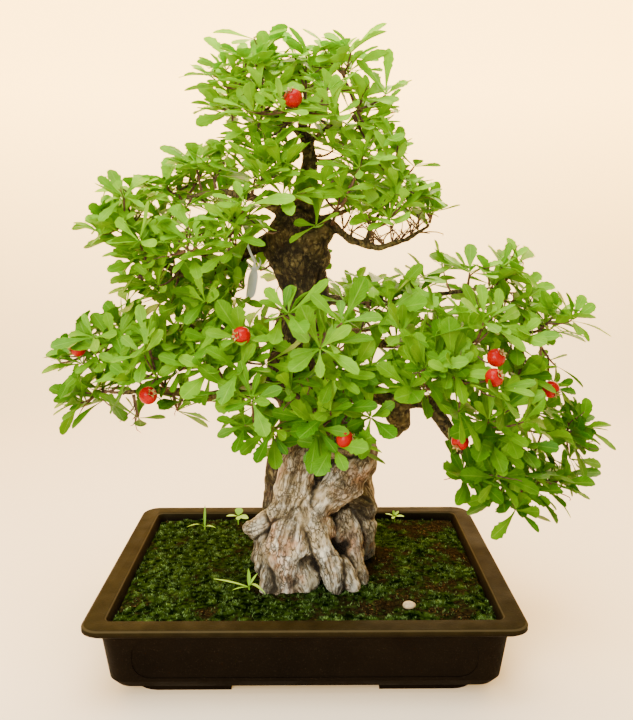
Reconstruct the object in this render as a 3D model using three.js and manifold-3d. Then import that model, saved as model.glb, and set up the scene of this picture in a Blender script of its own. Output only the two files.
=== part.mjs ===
// Old bonsai with haws in a rectangular clay tray, in millimetres, +Z up.
// Everything is drawn round the middle of the tray, standing on z = 0, and the finished group is
// moved so that the middle of the whole tree's bounding box lies over the origin.
import * as THREE from "three";
import Module from "manifold-3d";

const wasm = await Module();
wasm.setup();

// ---------------------------------------------------------------- driving dimensions
const seatGap = 0.3;
const minGap = 0.35;
const woodGap = 0.55;

const tray = {
  halfLength: 229.5,
  halfDepth: 172.5,
  height: 88,
  footHeight: 10,
  footRound: 9,
  floorTop: 20,
  rimWidth: 21,
  lipOverhang: 15.5,
  lipHeight: 9,
  wallLean: 6.5,
  wallThickness: 10,
  cornerRadius: 20,
  innerRadius: 8,
};
const foot = { halfLength: 184, halfDepth: 136, along: 105, across: 82, width: 24, corner: 26, sink: 1 };
const panel = { inset: 34, bottom: 23, top: 70, corner: 16, depth: 1.3, cutter: 20 };
const drain = { x: 95, radius: 12, screenSize: 40, screenThickness: 1.2, holes: 2, bar: 3 };
const soilLevel = { edge: 80, shoulder: 76, mound: 5, moundReach: 105, roughness: 1.6 };
const trunk = {
  foot: 42,
  lowStep: 13,
  lowTop: 230,
  highFoot: 240,
  highStep: 22.875,
  top: 606,
  sides: 15,
  depth: 0.9,
};

const leafSize = { shortest: 38, longest: 54, widthShare: 0.5, thickness: 0.8 };
const haw = { radius: 9.6, sides: 8, stalkRadius: 0.9, seat: 0.45, crownHeight: 2.2, fromTip: 8 };
const tag = { x: -56, width: 8, thickness: 0.8, length: 50, loopRadius: 12.5 };
const pebble = { x: 113, y: -108, halfLength: 8, halfWidth: 6, halfHeight: 4 };

// ---------------------------------------------------------------- vectors, chance and solids
const up = new THREE.Vector3(0, 0, 1);
const vector = (list) => new THREE.Vector3(...list);

// A repeatable number from 0 to 1 for each pair of whole numbers.
function chance(first, second) {
  const wave = Math.sin(first * 12.9898 + second * 78.233) * 43758.5453;
  return wave - Math.floor(wave);
}

function solid(points, faces) {
  const vertProperties = new Float32Array(points.flatMap((point) => [point.x, point.y, point.z]));
  const triVerts = new Uint32Array(faces.flat());
  return new wasm.Manifold(new wasm.Mesh({ numProp: 3, vertProperties, triVerts }));
}

function solidFromGeometry(geometry) {
  const source = geometry.index ? geometry.toNonIndexed() : geometry;
  const position = source.getAttribute("position");
  const seen = new Map();
  const points = [];
  const corners = [];
  for (let i = 0; i < position.count; i++) {
    const point = new THREE.Vector3().fromBufferAttribute(position, i);
    const key = point.toArray().map((value) => Math.round(value * 1e4)).join();
    if (!seen.has(key)) {
      seen.set(key, points.length);
      points.push(point);
    }
    corners.push(seen.get(key));
  }
  const faces = [];
  for (let i = 0; i < corners.length; i += 3) {
    const face = corners.slice(i, i + 3);
    if (new Set(face).size === 3) faces.push(face);
  }
  return solid(points, faces);
}

function geometryOf(body) {
  const mesh = body.getMesh();
  const geometry = new THREE.BufferGeometry();
  geometry.setAttribute("position", new THREE.BufferAttribute(new Float32Array(mesh.vertProperties), 3));
  geometry.setIndex(new THREE.BufferAttribute(new Uint32Array(mesh.triVerts), 1));
  geometry.computeVertexNormals();
  return geometry;
}

// A closed skin through rings of equal count, each counter-clockwise seen from the last ring's side.
function ringSolid(rings) {
  const count = rings[0].length;
  const points = rings.flat();
  const faces = [];
  for (let row = 0; row + 1 < rings.length; row++) {
    for (let i = 0; i < count; i++) {
      const near = row * count + i;
      const next = row * count + ((i + 1) % count);
      faces.push([near, next, next + count], [near, next + count, near + count]);
    }
  }
  const middle = (ring) => ring.reduce((sum, point) => sum.clone().add(point)).divideScalar(count);
  points.push(middle(rings[0]), middle(rings.at(-1)));
  const last = (rings.length - 1) * count;
  for (let i = 0; i < count; i++) {
    const next = (i + 1) % count;
    faces.push([points.length - 2, next, i], [points.length - 1, last + i, last + next]);
  }
  return solid(points, faces);
}

const union = (bodies) => wasm.Manifold.union(bodies);

// The biggest loose body of a solid, which drops the scraps that a cut leaves.
function largest(body) {
  return body.decompose().sort((a, b) => b.volume() - a.volume())[0];
}

function boxesMeet(a, b) {
  return [0, 1, 2].every((axis) => a.min[axis] < b.max[axis] && b.min[axis] < a.max[axis]);
}

// Rings round a route. The frame is carried along without twist from the first ring's side axis.
function sweepRings(points, radii, sides, side) {
  const rings = [];
  let across = side;
  points.forEach((point, i) => {
    const before = points[Math.max(i - 1, 0)];
    const after = points[Math.min(i + 1, points.length - 1)];
    const along = after.clone().sub(before).normalize();
    across = across.clone().addScaledVector(along, -across.dot(along)).normalize();
    const other = along.clone().cross(across);
    rings.push(Array.from({ length: sides }, (_, corner) => {
      const angle = (2 * Math.PI * corner) / sides;
      return point.clone()
        .addScaledVector(across, radii[i] * Math.cos(angle))
        .addScaledVector(other, radii[i] * Math.sin(angle));
    }));
  });
  return rings;
}

function sideAxis(direction) {
  return Math.abs(direction.z) < 0.8 ? up.clone() : new THREE.Vector3(1, 0, 0);
}

// ---------------------------------------------------------------- wood: trunk, roots, limbs
// Each station is height, middle x, middle y and radius.
const trunkStations = [
  [42, 14, 4, 84],
  [76, 13, 2, 74],
  [90, 13, 0, 67],
  [106, 17, 0, 68],
  [125, 19, 0, 66],
  [144, 19, 2, 60],
  [163, 22, 3, 52],
  [182, 25, 3, 52],
  [206, 27, 2, 54],
  [222, 25, 0, 50],
  [240, 17, -2, 41],
  [261, 8, -3, 38],
  [286, -2, -3, 35],
  [309, -9, -2, 34],
  [333, -12, 0, 32],
  [357, -8, 3, 30],
  [380, -2, 5, 28],
  [403, 1, 6, 26],
  [420, 0, 5, 27],
  [437, -8, 3, 29],
  [454, -13, 0, 33],
  [471, -13, -2, 33],
  [487, -8, -3, 28],
  [503, -4, -2, 18],
  [526, 0, 0, 12],
  [548, 5, 2, 9.5],
  [569, 6, 1, 8],
  [588, 1, -1, 6.5],
  [606, -4, -3, 4.5],
];
// Swellings and hollows: direction in degrees from +X, height, half-angle, half-height, millimetres out.
const trunkRelief = [
  [-20, 212, 34, 20, 11],
  [-8, 158, 26, 15, 16],
  [-10, 182, 26, 10, -8],
  [-168, 178, 26, 18, -13],
  [-172, 212, 30, 16, 5],
  [-118, 198, 24, 26, 6],
  [-55, 133, 24, 17, -15],
  [-48, 100, 20, 16, 8],
  [-120, 118, 32, 26, 12],
  [-88, 152, 18, 16, -8],
  [-150, 132, 20, 12, 7],
  [100, 130, 26, 24, -9],
  [70, 190, 26, 26, 8],
  [150, 110, 26, 26, 9],
  [-60, 455, 30, 14, 6],
  [-150, 462, 26, 14, 7],
  [-100, 472, 22, 14, -6],
  [20, 478, 30, 12, 5],
  [-30, 350, 30, 20, -5],
  [-130, 372, 30, 16, 4],
];

function trunkStationAt(height) {
  const row = trunkStations.findIndex((station) => station[0] >= height);
  const next = trunkStations[Math.max(row, 1)];
  const last = trunkStations[Math.max(row, 1) - 1];
  const share = (height - last[0]) / (next[0] - last[0]);
  return last.map((value, i) => value + (next[i] - value) * share);
}

function trunkReach(height, angle) {
  const radius = trunkStationAt(height)[3];
  const ridge = 0.07 * Math.sin(3 * angle + height * 0.03) + 0.045 * Math.sin(5 * angle - height * 0.045 + 1);
  let reach = radius * (1 + ridge);
  for (const [degrees, middle, halfAngle, halfHeight, out] of trunkRelief) {
    const turn = angle - THREE.MathUtils.degToRad(degrees);
    const offAngle = Math.atan2(Math.sin(turn), Math.cos(turn)) / THREE.MathUtils.degToRad(halfAngle);
    const offHeight = (height - middle) / halfHeight;
    reach += out * Math.exp(-offAngle * offAngle - offHeight * offHeight);
  }
  return reach;
}

function trunkSolid(grow) {
  const heights = [];
  for (let height = trunk.foot; height < trunk.lowTop; height += trunk.lowStep) heights.push(height);
  for (let height = trunk.highFoot; height <= trunk.top; height += trunk.highStep) heights.push(height);
  const rings = heights.map((height, row) => {
    const [, x, y] = trunkStationAt(height);
    const ends = row === 0 ? -grow : row === heights.length - 1 ? grow : 0;
    return Array.from({ length: trunk.sides }, (_, i) => {
      const angle = (2 * Math.PI * i) / trunk.sides;
      const reach = trunkReach(height, angle) + grow;
      return new THREE.Vector3(
        x + reach * Math.cos(angle),
        y + trunk.depth * reach * Math.sin(angle),
        height + ends);
    });
  });
  return ringSolid(rings);
}

// Routes of the roots, from inside the trunk base down into the soil.
const roots = [
  { route: [[-8, -20, 112], [-26, -50, 98], [-42, -72, 82], [-56, -88, 66], [-62, -96, 54]],
    from: 30, to: 8 },
  { route: [[16, -26, 104], [30, -56, 90], [38, -76, 78], [42, -90, 64], [44, -98, 54]], from: 24, to: 6 },
  { route: [[46, -14, 100], [66, -38, 86], [80, -54, 74], [92, -66, 60]], from: 17, to: 4 },
  { route: [[-26, 0, 112], [-58, -8, 104], [-82, -12, 96], [-96, -16, 80], [-106, -18, 60]],
    from: 20, to: 6 },
  { route: [[-16, 28, 104], [-46, 58, 86], [-68, 80, 70], [-80, 92, 56]], from: 24, to: 6 },
  { route: [[36, 30, 104], [66, 58, 84], [84, 76, 68], [94, 88, 56]], from: 22, to: 5 },
  { route: [[52, 2, 108], [84, 4, 92], [100, 2, 76], [112, 2, 60]], from: 20, to: 5 },
];

// Routes of the limbs, from inside the wood that bears them out to their tips.
const limbs = [
  { name: "left_high", route: [[-10, 0, 468], [-41, -2, 470], [-61, -10, 460], [-100, -20, 438],
    [-128, -18, 432], [-162, -10, 445], [-201, -5, 470]], from: 13, to: 3.5 },
  { name: "left_high_front", route: [[-88, -18, 444], [-106, -48, 456], [-123, -72, 462]], from: 5, to: 2.4 },
  { name: "left_high_back", route: [[-100, -20, 438], [-128, 28, 462], [-151, 60, 478]], from: 5, to: 2.4 },
  { name: "left_high_up", route: [[-10, 0, 494], [-40, -24, 510], [-70, -40, 522], [-105, -28, 522],
    [-138, -8, 516]], from: 8, to: 3 },
  { name: "right_high", route: [[-2, 0, 494], [28, -12, 490], [45, -22, 476], [64, -25, 464], [101, -20, 466],
    [119, -15, 476], [140, -8, 488]], from: 8, to: 2.8 },
  { name: "right_high_up", route: [[64, -25, 464], [75, -15, 488], [90, -2, 512], [104, 4, 534]],
    from: 4.5, to: 2.2 },
  { name: "right_high_back", route: [[0, 0, 492], [30, 28, 498], [59, 52, 508]], from: 7, to: 2.6 },
  { name: "apex_left", route: [[2, 0, 578], [-21, -5, 600], [-46, -12, 613], [-70, -5, 622]],
    from: 5, to: 2.2 },
  { name: "apex_right", route: [[4, 0, 578], [23, -5, 592], [42, -8, 604], [58, -4, 612]],
    from: 4.6, to: 2.2 },
  { name: "apex_front", route: [[1, 0, 588], [-6, -26, 600], [-8, -46, 608]], from: 4.2, to: 2.2 },
  { name: "apex_back", route: [[2, 0, 580], [6, 28, 602], [10, 46, 618]], from: 4.2, to: 2.2 },
  { name: "left_low", route: [[-14, 0, 302], [-42, -15, 306], [-66, -30, 302], [-93, -45, 299],
    [-132, -50, 305], [-172, -42, 308], [-208, -30, 300]], from: 12, to: 3.2 },
  { name: "left_low_up", route: [[-78, -38, 301], [-95, -70, 336], [-112, -78, 356]], from: 5, to: 2.4 },
  { name: "left_low_back", route: [[-62, -25, 302], [-108, 22, 312], [-150, 56, 326]], from: 5.5, to: 2.4 },
  { name: "left_mid", route: [[-8, 0, 363], [-40, -8, 361], [-73, -14, 364], [-119, -8, 372], [-168, -2, 370],
    [-208, 5, 354], [-238, 4, 340]], from: 9, to: 2.8 },
  { name: "left_mid_back", route: [[-57, -12, 363], [-94, 36, 374], [-126, 70, 380]], from: 4.8, to: 2.3 },
  { name: "front", route: [[-4, -8, 353], [0, -48, 364], [-1, -80, 376], [-4, -104, 386]], from: 6, to: 2.4 },
  { name: "front_low", route: [[12, -16, 255], [22, -62, 272], [32, -98, 284]], from: 5, to: 2.2 },
  { name: "front_left_low", route: [[-4, -16, 265], [-27, -52, 268], [-42, -74, 266]], from: 4.6, to: 2.2 },
  { name: "right", route: [[8, 0, 288], [46, -8, 296], [77, -20, 298], [108, -32, 291], [139, -46, 293],
    [163, -56, 258], [193, -58, 222], [226, -52, 196], [262, -42, 190]], from: 17, to: 3 },
  { name: "right_stub", route: [[98, -28, 296], [104, -29, 284], [108, -30, 272], [108, -30, 264]],
    from: 15, to: 13 },
  { name: "right_out", route: [[160, -55, 262], [205, -54, 266], [254, -40, 258], [298, -24, 250]],
    from: 5, to: 2.2 },
  { name: "right_front", route: [[134, -44, 294], [144, -80, 318], [160, -102, 336]], from: 5.5, to: 2.4 },
  { name: "right_mid", route: [[-6, 2, 350], [35, 0, 362], [86, -12, 354], [141, -25, 354], [190, -28, 360],
    [238, -22, 364], [270, -14, 370]], from: 10, to: 2.6 },
  { name: "right_high_low", route: [[2, 4, 403], [34, -5, 404], [73, -14, 400], [118, -18, 404], [169, -14, 414],
    [220, -8, 418]], from: 8, to: 2.4 },
  { name: "right_back", route: [[29, 1, 361], [84, 44, 364], [150, 70, 370], [206, 74, 374]], from: 6, to: 2.3 },
  { name: "back", route: [[-2, 10, 402], [-4, 50, 410], [-8, 86, 418]], from: 6, to: 2.4 },
  { name: "back_low", route: [[-6, 12, 318], [-26, 62, 326], [-46, 96, 334]], from: 6, to: 2.4 },
  { name: "back_low_right", route: [[-6, 12, 322], [24, 60, 328], [42, 92, 330]], from: 5.5, to: 2.4 },
];

// Even points along a route with the limb's thickness at each, swollen and pinched a little.
function limbCourse({ route, from, to }, step, seed) {
  const curve = new THREE.CatmullRomCurve3(route.map(vector), false, "centripetal");
  const count = Math.max(3, Math.round(curve.getLength() / step));
  const points = curve.getSpacedPoints(count);
  const radii = points.map((_, i) => {
    const share = i / count;
    const radius = from + (to - from) * Math.pow(share, 0.8);
    return radius * (0.93 + 0.16 * chance(seed, i));
  });
  return { points, radii };
}

function limbSolid(limb, step, seed, grow) {
  const { points, radii } = limbCourse(limb, step, seed);
  const lead = points[1].clone().sub(points[0]).normalize();
  const trail = points.at(-1).clone().sub(points.at(-2)).normalize();
  points[0].addScaledVector(lead, -grow);
  points.at(-1).addScaledVector(trail, grow);
  const sides = limb.from > 7.5 ? 5 : 4;
  return ringSolid(sweepRings(points, radii.map((radius) => radius + grow), sides, sideAxis(lead)));
}

const limbStep = 33;
const rootStep = 27;

function woodSolid(grow) {
  return union([
    trunkSolid(grow),
    ...roots.map((root, i) => limbSolid(root, rootStep, 40 + i, grow)),
    ...limbs.map((limb, i) => limbSolid(limb, limbStep, i, grow)),
  ]);
}

const wood = woodSolid(0).simplify(0.25);
const woodReach = woodSolid(woodGap);

// Places on a limb's centre line, with its thickness there.
function limbPlaces(index) {
  const { points, radii } = limbCourse(limbs[index], limbStep, index);
  return points.slice(1).flatMap((point, i) => [0.25, 0.5, 0.75, 1].map((share) => ({
    point: points[i].clone().lerp(point, share),
    radius: THREE.MathUtils.lerp(radii[i], radii[i + 1], share),
    along: point.clone().sub(points[i]).normalize(),
  })));
}

// Places that a twig can grow from: along the limbs and up the trunk's middle.
const buds = limbs.flatMap((_, i) => limbPlaces(i));
for (let height = 240; height <= 600; height += 15) {
  const [, x, y, radius] = trunkStationAt(height);
  buds.push({ point: new THREE.Vector3(x, y, height), radius });
}

// ---------------------------------------------------------------- what has been placed so far
// Every solid that leaves have to keep clear of, with the spray and rosette it belongs to.
const placed = [];

function place(body, spray = -1, rosette = -1) {
  placed.push({ body, box: body.boundingBox(), spray, rosette });
}

function crosses(body, others) {
  const box = body.boundingBox();
  return others.some((other) => boxesMeet(box, other.box) && body.intersect(other.body).volume() > 1e-6);
}

place(wood);

// ---------------------------------------------------------------- twigs
// Each spray is one leafy twig that forks once. Its rosettes of leaves sit at the two tips.
const sprayTips = {
  apex: [
    [[-76, -8, 648], [-82, 14, 612]],
    [[-42, -30, 654], [-22, -62, 604]],
    [[2, 0, 668], [-8, 50, 636]],
    [[40, -12, 656], [32, -58, 600]],
    [[64, 2, 612], [44, 42, 598]],
    [[-48, -44, 596], [-44, 38, 622]],
  ],
  left_high: [
    [[-238, 4, 486], [-192, -22, 508]],
    [[-144, 2, 530], [-170, 52, 492]],
    [[-98, -32, 540], [-102, 56, 514]],
    [[-52, -58, 536], [-14, -76, 518]],
    [[-118, -76, 480], [-70, -86, 490]],
    [[-180, -38, 452], [-142, -62, 458]],
  ],
  right_high: [
    [[38, -58, 522], [12, -66, 488]],
    [[86, 4, 550], [72, 52, 524]],
    [[122, 0, 552], [102, -44, 524]],
    [[142, -12, 502], [90, -56, 494]],
  ],
  left_low: [
    [[-268, 0, 340], [-236, -12, 302]],
    [[-212, -32, 358], [-204, 46, 340]],
    [[-160, -60, 374], [-156, -88, 330]],
    [[-112, -48, 386], [-130, 72, 398]],
    [[-98, -106, 340], [-58, -84, 366]],
    [[-188, -38, 274], [-145, -30, 280]],
    [[-76, -54, 412], [-104, 0, 414]],
  ],
  front: [
    [[-16, -122, 402], [26, -130, 372]],
    [[-14, -116, 322], [-54, -100, 302]],
    [[26, -122, 302], [46, -106, 262]],
    [[-44, -80, 252], [-10, -94, 282]],
    [[42, -98, 342], [4, -88, 352]],
  ],
  right: [
    [[92, -56, 410], [138, -8, 424]],
    [[183, -24, 436], [232, -8, 430]],
    [[282, -12, 384], [212, 68, 390]],
    [[116, -112, 372], [168, -94, 380]],
    [[228, -60, 366], [252, -56, 320]],
    [[108, -108, 322], [164, -122, 330]],
    [[320, -20, 256], [286, 40, 322]],
    [[232, -72, 254], [160, -84, 240]],
    [[270, -36, 206], [220, -62, 190]],
    [[154, 72, 342], [192, -104, 288]],
  ],
  back: [
    [[-8, 100, 432], [-60, 106, 348]],
    [[44, 108, 336], [60, 84, 400]],
  ],
};
const sprays = Object.entries(sprayTips).flatMap(([region, pairs]) =>
  pairs.map((tips, i) => ({ name: `spray_${region}_${i + 1}`, tips: tips.map(vector) })));

const twig = {
  baseRadius: 1.7,
  tipRadius: 1.05,
  hubRadius: 1.7,
  clearance: 0.7,
  step: 42,
  shortest: 24,
  apart: 10,
};
const bends = [
  [0, 0.1], [0.16, 0.14], [-0.16, 0.14], [0.1, -0.14], [-0.3, 0.05], [0.3, 0.05], [0, 0.34],
  [0.25, 0.3], [-0.25, 0.3], [0.45, 0.1], [-0.45, 0.1], [0, -0.3], [0.3, -0.25], [-0.3, -0.25],
];

const nearest = (list, point) =>
  list.reduce((best, item) => (item.point.distanceTo(point) < best.point.distanceTo(point) ? item : best));

// Points from the start to the tip, bowed sideways and upwards by shares of the length.
function twigCourse(start, tip, [sideways, upwards]) {
  const span = tip.clone().sub(start);
  const side = span.clone().cross(up).normalize();
  const control = start.clone().add(tip).multiplyScalar(0.5)
    .addScaledVector(side, sideways * span.length())
    .addScaledVector(up, upwards * span.length());
  const curve = new THREE.QuadraticBezierCurve3(start, control, tip);
  return curve.getSpacedPoints(Math.max(2, Math.round(span.length() / twig.step)));
}

// The rosette's own frame: its axis leans from the twig's direction towards the sky.
function hubFrame(points, lean) {
  const tip = points.at(-1);
  const along = tip.clone().sub(points.at(-2)).normalize();
  const axis = along.multiplyScalar(lean).addScaledVector(up, 1).normalize();
  const first = new THREE.Vector3(1, 0, 0).addScaledVector(axis, -axis.x).normalize();
  return { tip, axis, first, second: axis.clone().cross(first) };
}

function hubPoint(hub, angle, radius, lift) {
  return hub.tip.clone()
    .addScaledVector(hub.first, radius * Math.cos(angle))
    .addScaledVector(hub.second, radius * Math.sin(angle))
    .addScaledVector(hub.axis, lift);
}

// Rings down a twig, from its base up to the rosette's underside.
function twigRings(points, hub, sides, turn, size, grow) {
  const reversed = points.slice(0, -1).reverse();
  const rings = [];
  let across = hubPoint(hub, turn, 1, 0).sub(hub.tip);
  reversed.forEach((point, i) => {
    const above = i === 0 ? hub.tip : reversed[i - 1];
    const along = above.clone().sub(point).normalize();
    across = across.clone().addScaledVector(along, -across.dot(along)).normalize();
    const other = along.clone().cross(across);
    const share = (i + 1) / reversed.length;
    const radius = size.tipRadius + (size.baseRadius - size.tipRadius) * share + grow;
    rings.push(Array.from({ length: sides }, (_, corner) => {
      const angle = (2 * Math.PI * corner) / sides;
      return point.clone()
        .addScaledVector(across, radius * Math.cos(angle))
        .addScaledVector(other, radius * Math.sin(angle));
    }));
  });
  return rings.reverse();
}

// ---------------------------------------------------------------- rosettes of blades
// Half outlines as shares of length and width: a wedge with a three-lobed end, a plain round end, or
// a slender blade that narrows from below its middle.
const lobedEdge = [[0.7, 0.5], [0.8, 0.31]];
const roundEdge = [[0.42, 0.3], [0.8, 0.48]];
const slenderEdge = [[0.4, 0.5], [0.75, 0.38]];

// The free points of one blade, from its right side round the tip to its left side.
function bladeOutline(blade, margin) {
  const edge = blade.edge.map(([along, across]) => [along * blade.length, across * blade.width + margin]);
  if (margin > 0 && blade.edge === lobedEdge) edge[1] = [0.87 * blade.length, 0.4 * blade.width + margin];
  return [
    ...edge.map(([along, across]) => [along, -across]),
    [blade.length + margin, 0],
    ...edge.map(([along, across]) => [along, across]).reverse(),
  ];
}

// Directions of a blade that leaves the hub between two of its corners.
function bladeFrame(hub, blade) {
  const radial = hubPoint(hub, blade.angle, 1, 0).sub(hub.tip);
  const out = radial.clone()
    .multiplyScalar(Math.cos(blade.rise))
    .addScaledVector(hub.axis, Math.sin(blade.rise));
  const left = hub.axis.clone().cross(radial);
  const face = out.clone().cross(left);
  const rolled = left.clone()
    .multiplyScalar(Math.cos(blade.roll))
    .addScaledVector(face, Math.sin(blade.roll));
  return { out, left: rolled, face: out.clone().cross(rolled) };
}

function bladePoint(hub, blade, frame, [along, across], lift) {
  const share = along / blade.length;
  const bow = blade.arch * blade.length * share * share + blade.fold * Math.abs(across);
  return hub.tip.clone()
    .addScaledVector(frame.out, along + hub.radius * 0.8)
    .addScaledVector(frame.left, across)
    .addScaledVector(frame.face, bow + lift);
}

// Two faces split alike, fanned from the blade's foot, and the edge between them.
function bladeFaces(upper, lower, faces, closeFoot) {
  const last = upper.length - 1;
  const tip = last / 2;
  const fan = [];
  for (let i = 1; i < tip; i++) fan.push([0, i, i + 1]);
  if (last > 1) fan.push([0, tip, last]);
  for (let i = tip; i < last - 1; i++) fan.push([last, i, i + 1]);
  for (const [a, b, c] of fan) {
    faces.push([upper[a], upper[b], upper[c]], [lower[c], lower[b], lower[a]]);
  }
  const edges = closeFoot ? last + 1 : last;
  for (let i = 0; i < edges; i++) {
    const next = (i + 1) % (last + 1);
    faces.push([upper[i], lower[i], lower[next]], [upper[i], lower[next], upper[next]]);
  }
}

// A plain stand-in for a blade, thicker and wider by the clearance, from a share of its length out.
function bladeStandIn(hub, blade, clearance, fromShare) {
  const frame = bladeFrame(hub, blade);
  const half = leafSize.thickness / 2 + clearance;
  const foot = 1.2 + clearance + fromShare * 0.6 * blade.width;
  const free = bladeOutline(blade, clearance).filter(([along]) => along > fromShare * blade.length + 1);
  const outline = [[fromShare * blade.length, -foot], ...free, [fromShare * blade.length, foot]];
  const points = [
    ...outline.map((spot) => bladePoint(hub, blade, frame, spot, half)),
    ...outline.map((spot) => bladePoint(hub, blade, frame, spot, -half)),
  ];
  const faces = [];
  const upper = outline.map((_, i) => i);
  bladeFaces(upper, upper.map((i) => i + outline.length), faces, true);
  return solid(points, faces);
}

// A twig that ends in a star of blades: one skin from the base ring to the blade tips.
function rosetteSolid(points, hub, blades, sides, turn, size) {
  const half = leafSize.thickness / 2;
  const corners = Array.from({ length: sides }, (_, i) => turn + (2 * Math.PI * i) / sides);
  const rings = twigRings(points, hub, sides, turn, size, 0);
  rings.push(corners.map((angle) => hubPoint(hub, angle, hub.radius, -half)));
  rings.push(corners.map((angle) => hubPoint(hub, angle, hub.radius, half)));
  const vertices = rings.flat();
  const top = vertices.length - sides;
  const bottom = top - sides;
  const faces = [];
  for (let row = 0; row + 2 < rings.length; row++) {
    for (let i = 0; i < sides; i++) {
      const near = row * sides + i;
      const next = row * sides + ((i + 1) % sides);
      faces.push([near, next, next + sides], [near, next + sides, near + sides]);
    }
  }
  for (let i = 1; i + 1 < sides; i++) {
    faces.push([0, i + 1, i], [top, top + i, top + i + 1]);
  }
  for (let i = 0; i < sides; i++) {
    const next = (i + 1) % sides;
    const blade = blades[i];
    const upper = [top + i];
    const lower = [bottom + i];
    if (blade) {
      const frame = bladeFrame(hub, blade);
      for (const spot of bladeOutline(blade, 0)) {
        upper.push(vertices.length);
        lower.push(vertices.length + 1);
        vertices.push(bladePoint(hub, blade, frame, spot, half), bladePoint(hub, blade, frame, spot, -half));
      }
    }
    bladeFaces([...upper, top + next], [...lower, bottom + next], faces, false);
  }
  return solid(vertices, faces);
}

// The leaf that a try gives on one side of a rosette. Later tries turn it up, down and aside.
function leafTry(rosette, side, attempt, sides, turn) {
  const seed = rosette * 8 + side;
  const draw = (item) => chance(seed, attempt * 7 + item);
  const swing = 0.12 + 0.05 * attempt;
  const length = leafSize.shortest + (leafSize.longest - leafSize.shortest) * draw(0) - 1.4 * attempt;
  return {
    angle: turn + (2 * Math.PI * (side + 0.5)) / sides + swing * (2 * draw(1) - 1),
    rise: 0.08 + 0.5 * draw(2) + 0.09 * attempt * (draw(6) - 0.5),
    roll: 0.5 * (draw(3) - 0.5),
    arch: 0.22 * (draw(4) - 0.6),
    fold: 0.1 + 0.16 * draw(5),
    length,
    width: length * leafSize.widthShare * (0.92 + 0.16 * draw(6)),
    edge: (rosette + side) % 2 === 0 ? roundEdge : lobedEdge,
  };
}

// ---------------------------------------------------------------- stems of every spray
const tries = { leaf: 9, leafClearance: 0.55 };
const rosettes = [];
const stems = [];

function growStem(spray, index, start, tip) {
  const rosette = rosettes.length;
  const sides = rosette % 3 === 1 ? 5 : rosette % 3 === 2 ? 3 : 4;
  const turn = 2 * Math.PI * chance(rosette, 500);
  for (const bend of bends) {
    const points = twigCourse(start, tip, bend);
    const hub = { ...hubFrame(points, 0.7), radius: twig.hubRadius };
    const body = ringSolid([
      ...twigRings(points, hub, sides, turn, twig, twig.clearance),
      Array.from({ length: sides }, (_, i) =>
        hubPoint(hub, turn + (2 * Math.PI * i) / sides, hub.radius + twig.clearance, twig.clearance)),
    ]);
    const others = placed.filter((item) => item.body !== wood && item.spray !== index);
    if (crosses(body, others)) continue;
    const outside = body.subtract(wood).decompose().map((piece) => piece.volume());
    if (outside.length === 0) continue;
    const whole = outside.reduce((sum, volume) => sum + volume, 0);
    if (Math.max(...outside) < 0.985 * whole) continue;
    rosettes.push({ spray: index, points, hub, sides, turn, blades: new Array(sides).fill(null) });
    place(body, index, rosette);
    stems.push({ points, spray: index });
    return points;
  }
  console.warn(`no clear way for a twig of ${spray.name}`);
  return null;
}

sprays.forEach((spray, index) => {
  const [tip, fork] = spray.tips;
  const open = buds.filter((bud) => bud.point.distanceTo(tip) > twig.shortest
    && stems.every(({ points }) => points[0].distanceTo(bud.point) > twig.apart));
  const points = growStem(spray, index, nearest(open, tip).point, tip);
  if (!points) return;
  const forkPoint = points[Math.max(1, Math.floor(points.length / 3))];
  growStem(spray, index, forkPoint, fork);
});

// ---------------------------------------------------------------- the tag on the upper left limb
function tagSolid() {
  const places = limbPlaces(limbs.findIndex((limb) => limb.name === "left_high"));
  const { point, radius, along } = places.find((spot) => spot.point.x < tag.x);
  const centre = point.clone().addScaledVector(up, radius + 0.8 - tag.loopRadius);
  const half = 1.5;
  const profile = [
    [tag.loopRadius, -half],
    [tag.loopRadius + 1, -half],
    [tag.loopRadius + 1, half],
    [tag.loopRadius, half],
    [tag.loopRadius, -half],
  ].map(([x, y]) => new THREE.Vector2(x, y));
  const loop = new THREE.LatheGeometry(profile, 12);
  loop.applyQuaternion(new THREE.Quaternion().setFromUnitVectors(new THREE.Vector3(0, 1, 0), along));
  loop.translate(centre.x, centre.y, centre.z);
  const down = along.clone().multiplyScalar(along.z).sub(up).normalize();
  const foot = centre.clone().addScaledVector(down, tag.loopRadius + 0.3);
  const sections = 6;
  const rings = Array.from({ length: sections + 1 }, (_, i) => {
    const share = i / sections;
    const width = tag.width * (0.35 + 0.65 * Math.min(1, 1.6 * share));
    const sway = 5 * Math.sin(3.6 * share) - 3 * share;
    const height = foot.z - tag.length * share;
    const face = tag.thickness / 2;
    const bow = foot.y + 2.5 * Math.sin(4 * share);
    return [
      new THREE.Vector3(foot.x + sway + width / 2, bow - face, height),
      new THREE.Vector3(foot.x + sway + width / 2, bow + face, height),
      new THREE.Vector3(foot.x + sway - width / 2, bow + face, height),
      new THREE.Vector3(foot.x + sway - width / 2, bow - face, height),
    ].reverse();
  });
  return union([solidFromGeometry(loop), ringSolid(rings)]);
}
const tagBody = tagSolid();
place(tagBody);

// ---------------------------------------------------------------- haws
const hawPlaces = [
  [-11, -84, 613],
  [-253, -34, 353],
  [-163, -100, 314],
  [-63, -122, 380],
  [41, -130, 275],
  [163, -104, 265],
  [192, -126, 358],
  [187, -142, 341],
  [265, -74, 314],
].map(vector);

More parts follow.
